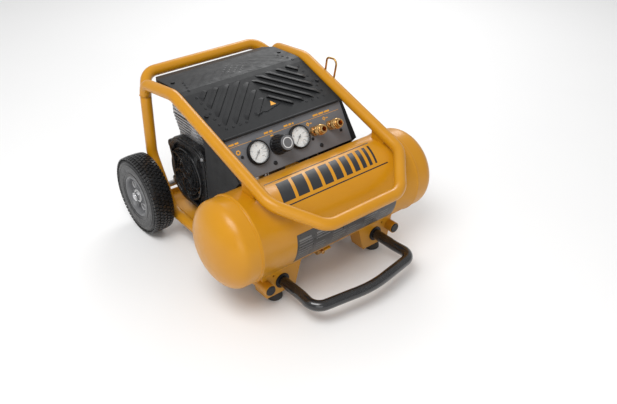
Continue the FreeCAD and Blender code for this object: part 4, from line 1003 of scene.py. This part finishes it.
def dress_panel():
    """Ink on the panel: a thin line with short bars in place of words, and plain icons."""
    film = 0.22 * MM
    bm = bmesh.new()

    def bar(across, drop, wide, tall):
        add_block(bm, on_panel(across * MM, drop * MM), (wide * MM, tall * MM, film), 0.05 * MM)

    bar(-130, 21, 62, 0.8)
    bar(-10, 21, 150, 0.8)
    bar(112, 21, 90, 0.8)
    for start, words in ((-158, (14, 10)), (-62, (12, 9)), (-6, (11, 8, 4)), (80, (15, 15, 15))):
        across = start
        for wide in words:
            bar(across + wide / 2, 15.5, wide, 4.2)
            across += wide + 2.6
    bar(-44, 25.5, 8, 3)
    add_ring(bm, on_panel(-140 * MM, 36 * MM), 3.2 * MM, 6.2 * MM, 0, film, 6)
    for across in [x / MM for x in COUPLER_X.values()]:
        add_ring(bm, on_panel((across - 10) * MM, 30 * MM), 2.2 * MM, 5.0 * MM, 0, film, 4)
        bar(across - 1, 30, 5, 2.4)
    piece("panel_marks", bm, "ink_yellow")

    bm = bmesh.new()
    for across, drop, size in ((-134, 48, 3.6), (-58, 86, 5.0), (60, 66, 3.8), (78, 87, 5.0), (146, 70, 3.8),
                               (94, 42, 3.0), (-150, 88, 3.4)):
        spot = on_panel(across * MM, drop * MM)
        add_lathe(bm, [(0, -0.3 * MM), (size * MM, -0.3 * MM), (size * MM, 1.2 * MM),
                       ((size - 1.2) * MM, 2.7 * MM), (0, 3.0 * MM)], spot, 32)
    piece("panel_buttons", bm, "black", like="cover_screws", edge=0.2 * MM)


def digits_mesh(name, text, matrix, size):
    """The mesh of a plain dial number, raised a hair above the card."""
    curve = bpy.data.curves.new(name, "FONT")
    curve.body = text
    curve.size = size
    curve.extrude = 0.08 * MM
    curve.align_x = "CENTER"
    curve.align_y = "CENTER"
    item = bpy.data.objects.new(name, curve)
    bpy.context.scene.collection.objects.link(item)
    item.matrix_world = matrix
    bpy.context.view_layer.update()
    mesh = bpy.data.meshes.new_from_object(item.evaluated_get(bpy.context.evaluated_depsgraph_get()))
    mesh.transform(item.matrix_world)
    bpy.data.objects.remove(item)
    return mesh


def dress_gauge(side):
    """A gripped and rolled bezel, and a printed scale from 0 to 200."""
    bm = bmesh.new()
    seat = on_panel(GAUGE_X[side], PANEL_ROW_DROP)
    profile = mm((1.3, -14), (19.5, -14), (19.5, 0.2), (27.0, 0.2), (28, 1.2), (28, 8.2), (27.4, 9.6),
                 (26.2, 10.7), (24.9, 10.9), (24.0, 10.2), (23.8, 8.2), (23.8, 2.9), (1.3, 2.9))
    add_lathe(bm, profile, seat, 96, closed=True)
    grips = 36
    for index in range(grips):
        turn = seat @ spun(index, grips)
        turn = turn @ Matrix.Translation((GAUGE_RADIUS - 0.3 * MM, 0, 4.5 * MM))
        add_block(bm, turn @ Matrix.Rotation(math.pi / 2, 4, "Y"), (4.0 * MM, 1.1 * MM, 0.9 * MM), 0.2 * MM)
    made = piece(f"gauge_{side}_bezel", bm, "black", like="gauge_cases", edge=0.2 * MM)

    bm = bmesh.new()
    card = 3.85 * MM
    divisions = 40
    for index in range(divisions + 1):
        angle = DIAL_START - DIAL_SWEEP * index / divisions
        long = index % 10 == 0
        medium = index % 5 == 0
        length = 3.6 if long else 2.6 if medium else 1.5
        wide = 0.75 if long else 0.5 if medium else 0.3
        spot = seat @ Matrix.Rotation(angle, 4, "Z") @ Matrix.Translation(((22.3 - length / 2) * MM, 0, card))
        add_block(bm, spot, (length * MM, wide * MM, 0.1 * MM))
    turns = [DIAL_START - DIAL_SWEEP * index / 60 for index in range(61)]
    arc = [seat @ Vector((22.4 * MM * math.cos(turn), 22.4 * MM * math.sin(turn), card)) for turn in turns]
    add_sweep(bm, arc, 0.22 * MM, 6)
    meshes = []
    for index in range(5):
        angle = DIAL_START - DIAL_SWEEP * index / 4
        spot = seat @ Matrix.Translation((15.2 * MM * math.cos(angle), 15.2 * MM * math.sin(angle), card))
        meshes.append(digits_mesh(f"gauge_{side}_number_{index}", str(50 * index), spot, 4.4 * MM))
    for mesh in meshes:
        bm.from_mesh(mesh)
        bpy.data.meshes.remove(mesh)
    piece(f"gauge_{side}_scale", bm, "ink")
    return made


def dress_knob():
    """The regulator knob: a fluted black barrel, a grey face and a white ring on it."""
    lift = 1.5 * MM
    seat = on_panel(KNOB_X, PANEL_ROW_DROP)
    base, top, length = 23 * MM, 19.1 * MM, 43 * MM
    flutes = 18

    def fluted(radius, height, angle):
        if height < 8.5 * MM or height > length - 3.2 * MM or radius < 15 * MM:
            return radius
        return radius - 1.5 * MM * max(0.0, math.cos(flutes * angle)) ** 3

    profile = [(4.06 * MM, lift), (base - 0.5 * MM, lift), (base, lift + 0.6 * MM), (base, 7.4 * MM)]
    profile += [(base - 0.7 * MM, 8.3 * MM), (base - 1.2 * MM, 9.4 * MM)]
    rise = length - 3.4 * MM - 9.6 * MM
    profile += [(base - 1.4 * MM + (top - base + 1.4 * MM) * share, 9.6 * MM + rise * share)
                for share in (0.02, 0.25, 0.5, 0.75, 1.0)]
    profile += [(top - 0.2 * MM, length - 3.0 * MM), (top - 0.8 * MM, length - 2.0 * MM),
                (top - 1.7 * MM, length - 1.6 * MM), (4.06 * MM, length - 1.6 * MM)]
    bm = bmesh.new()
    add_lathe(bm, profile, seat, 216, closed=True, shape=fluted)
    piece("regulator_knob_fluted", bm, "black", "knob", ("regulator_knob",))

    bm = bmesh.new()
    edge = top - 2 * MM
    face = length - 1.6 * MM
    rolled, sunk = length - 0.05 * MM, length - 0.5 * MM
    add_lathe(bm, [(0, face), (edge, face), (edge, sunk), (edge - 0.6 * MM, rolled),
                   (9.4 * MM, rolled), (9.0 * MM, sunk), (0, sunk)], seat, 64)
    piece("knob_face", bm, "knob_face", "knob", ("knob_cap",))
    bm = bmesh.new()
    add_ring(bm, seat, 10.4 * MM, 12.6 * MM, length - 0.2 * MM, length, 64)
    piece("knob_white_ring", bm, "white_ring", "knob")


def dress_coupler(side):
    """A grooved sliding sleeve, two rings under it and the bright rolled mouth of the socket."""
    seat = on_panel(COUPLER_X[side], PANEL_ROW_DROP)
    inner = 9.57
    profile = [(inner, 19), (11.4, 19), (11.8, 19.4), (12.5, 20.6)]
    for index in range(5):
        start = 21.4 + 2.5 * index
        profile += [(12.6, start), (12.6, start + 1.5), (11.9, start + 1.9), (11.9, start + 2.2)]
    profile += [(12.4, 34.4), (11.5, 36), (11.2, 36.6), (11.2, 38.1), (10.8, 38.5), (inner, 38.5)]
    bm = bmesh.new()
    add_lathe(bm, mm(*profile), seat, 64, closed=True)
    piece(f"coupler_sleeve_{side}_grooved", bm, "brass", f"sleeve_{side}", (f"coupler_sleeve_{side}",))
    bm = bmesh.new()
    mouth = mm((6.1, 41.6), (9.1, 41.6), (9.3, 42.6), (9.1, 43.6), (8.4, 44.0), (7.0, 44.0),
               (6.3, 43.6), (6.1, 43.0))
    add_lathe(bm, mouth, seat, 56, closed=True)
    for lift in (9.4, 11.6):
        add_ring(bm, seat, 9.2 * MM, 10.3 * MM, lift * MM, (lift + 1.5) * MM)
    piece(f"coupler_{side}_mouth", bm, "brass", like="coupler_bodies", edge=0.2 * MM)


# ---------------------------------------------------------------- motor and back

def dress_motor():
    """Cooling ribs along the motor, none underneath, and four end-bell bolts."""
    low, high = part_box("motor_stator")
    radius = (high.z - low.z) / 2 + 3.1 * MM
    axis = facing((-66 * MM, (low.y + high.y) / 2, (low.z + high.z) / 2), (1, 0, 0))
    bm = bmesh.new()
    for index in range(30):
        angle = 10 + 340 * index / 29
        if 150 < angle < 210:
            continue
        turn = axis @ Matrix.Rotation(math.radians(angle - 90), 4, "Z")
        turn = turn @ Matrix.Translation((radius - 0.4 * MM, 0, 90 * MM))
        add_block(bm, turn @ Matrix.Rotation(math.pi / 2, 4, "Y"), (150 * MM, 2.2 * MM, 3.4 * MM), 0.5 * MM)
    piece("motor_ribs", bm, "motor", like="motor_housing", edge=0.4 * MM)
    bm = bmesh.new()
    for index in range(4):
        angle = math.radians(45 + 90 * index)
        spot = axis @ Matrix.Translation((52 * MM * math.cos(angle), 52 * MM * math.sin(angle), 186 * MM))
        add_lathe(bm, [(0, 0), (5 * MM, 0), (5 * MM, 4.5 * MM), (0, 4.5 * MM)], spot, 6)
    piece("motor_end_bolts", bm, "steel", like="axle_nuts", edge=0.4 * MM)


# ---------------------------------------------------------------- studio

def add_light(name, at, target, size, power):
    data = bpy.data.lights.new(name, "AREA")
    data.shape = "RECTANGLE"
    data.size, data.size_y = size
    data.energy = power
    item = bpy.data.objects.new(name, data)
    item.location = at
    item.rotation_euler = (Vector(target) - Vector(at)).to_track_quat("-Z", "Y").to_euler()
    bpy.context.scene.collection.objects.link(item)


def build_studio():
    """A plain pale floor, an even sky, three soft lights and the camera."""
    bm = bmesh.new()
    bmesh.ops.create_grid(bm, x_segments=4, y_segments=4, size=9.0)
    mesh = bpy.data.meshes.new("floor")
    bm.to_mesh(mesh)
    bm.free()
    floor = bpy.data.objects.new("floor", mesh)
    floor.location.z = -0.4 * MM
    bpy.context.scene.collection.objects.link(floor)
    pale = Finish("floor_pale", (0.88, 0.88, 0.88), 0.6)
    pale.tint(pale.span(pale.noise(0.5, 2), 0.3, 0.7, 0.0, 0.2), (0.84, 0.84, 0.84))
    mesh.materials.append(pale.done())

    world = bpy.data.worlds.new("studio")
    world.use_nodes = True
    sky = world.node_tree.nodes["Background"]
    sky.inputs["Color"].default_value = (1, 1, 1, 1)
    sky.inputs["Strength"].default_value = 0.57
    bpy.context.scene.world = world

    target = (0, 0, 0.2)
    add_light("key", (-1.2, -0.6, 2.4), target, (1.6, 1.2), 46)
    add_light("fill", (-1.6, -2.2, 0.9), target, (1.6, 1.2), 9)
    add_light("rim", (1.6, 1.6, 1.7), target, (1.4, 1.0), 24)

    camera = bpy.data.cameras.new("camera")
    camera.sensor_width = 36
    camera.lens = 41.5
    camera.clip_start, camera.clip_end = 0.05, 50
    item = bpy.data.objects.new("camera", camera)
    place = Vector((-887.4, -1196.6, 1064.8)) * MM
    aim = Vector((45.0, -59.1, 116.0)) * MM
    item.location = place
    item.rotation_mode = "QUATERNION"
    item.rotation_quaternion = (aim - place).to_track_quat("-Z", "Y")
    bpy.context.scene.collection.objects.link(item)
    bpy.context.scene.camera = item
    bpy.context.scene.view_settings.view_transform = "Standard"


def main():
    finish_cad()
    dress_tank()
    dress_cage()
    for side, sign in SIDES:
        wheel_parts(side, sign)
    dress_pump()
    dress_fan_cover()
    dress_shroud()
    dress_panel()
    for side, _ in SIDES:
        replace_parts(dress_gauge(side), "gauge_cases")
    dress_knob()
    for side, _ in SIDES:
        dress_coupler(side)
    dress_motor()
    build_studio()


main()
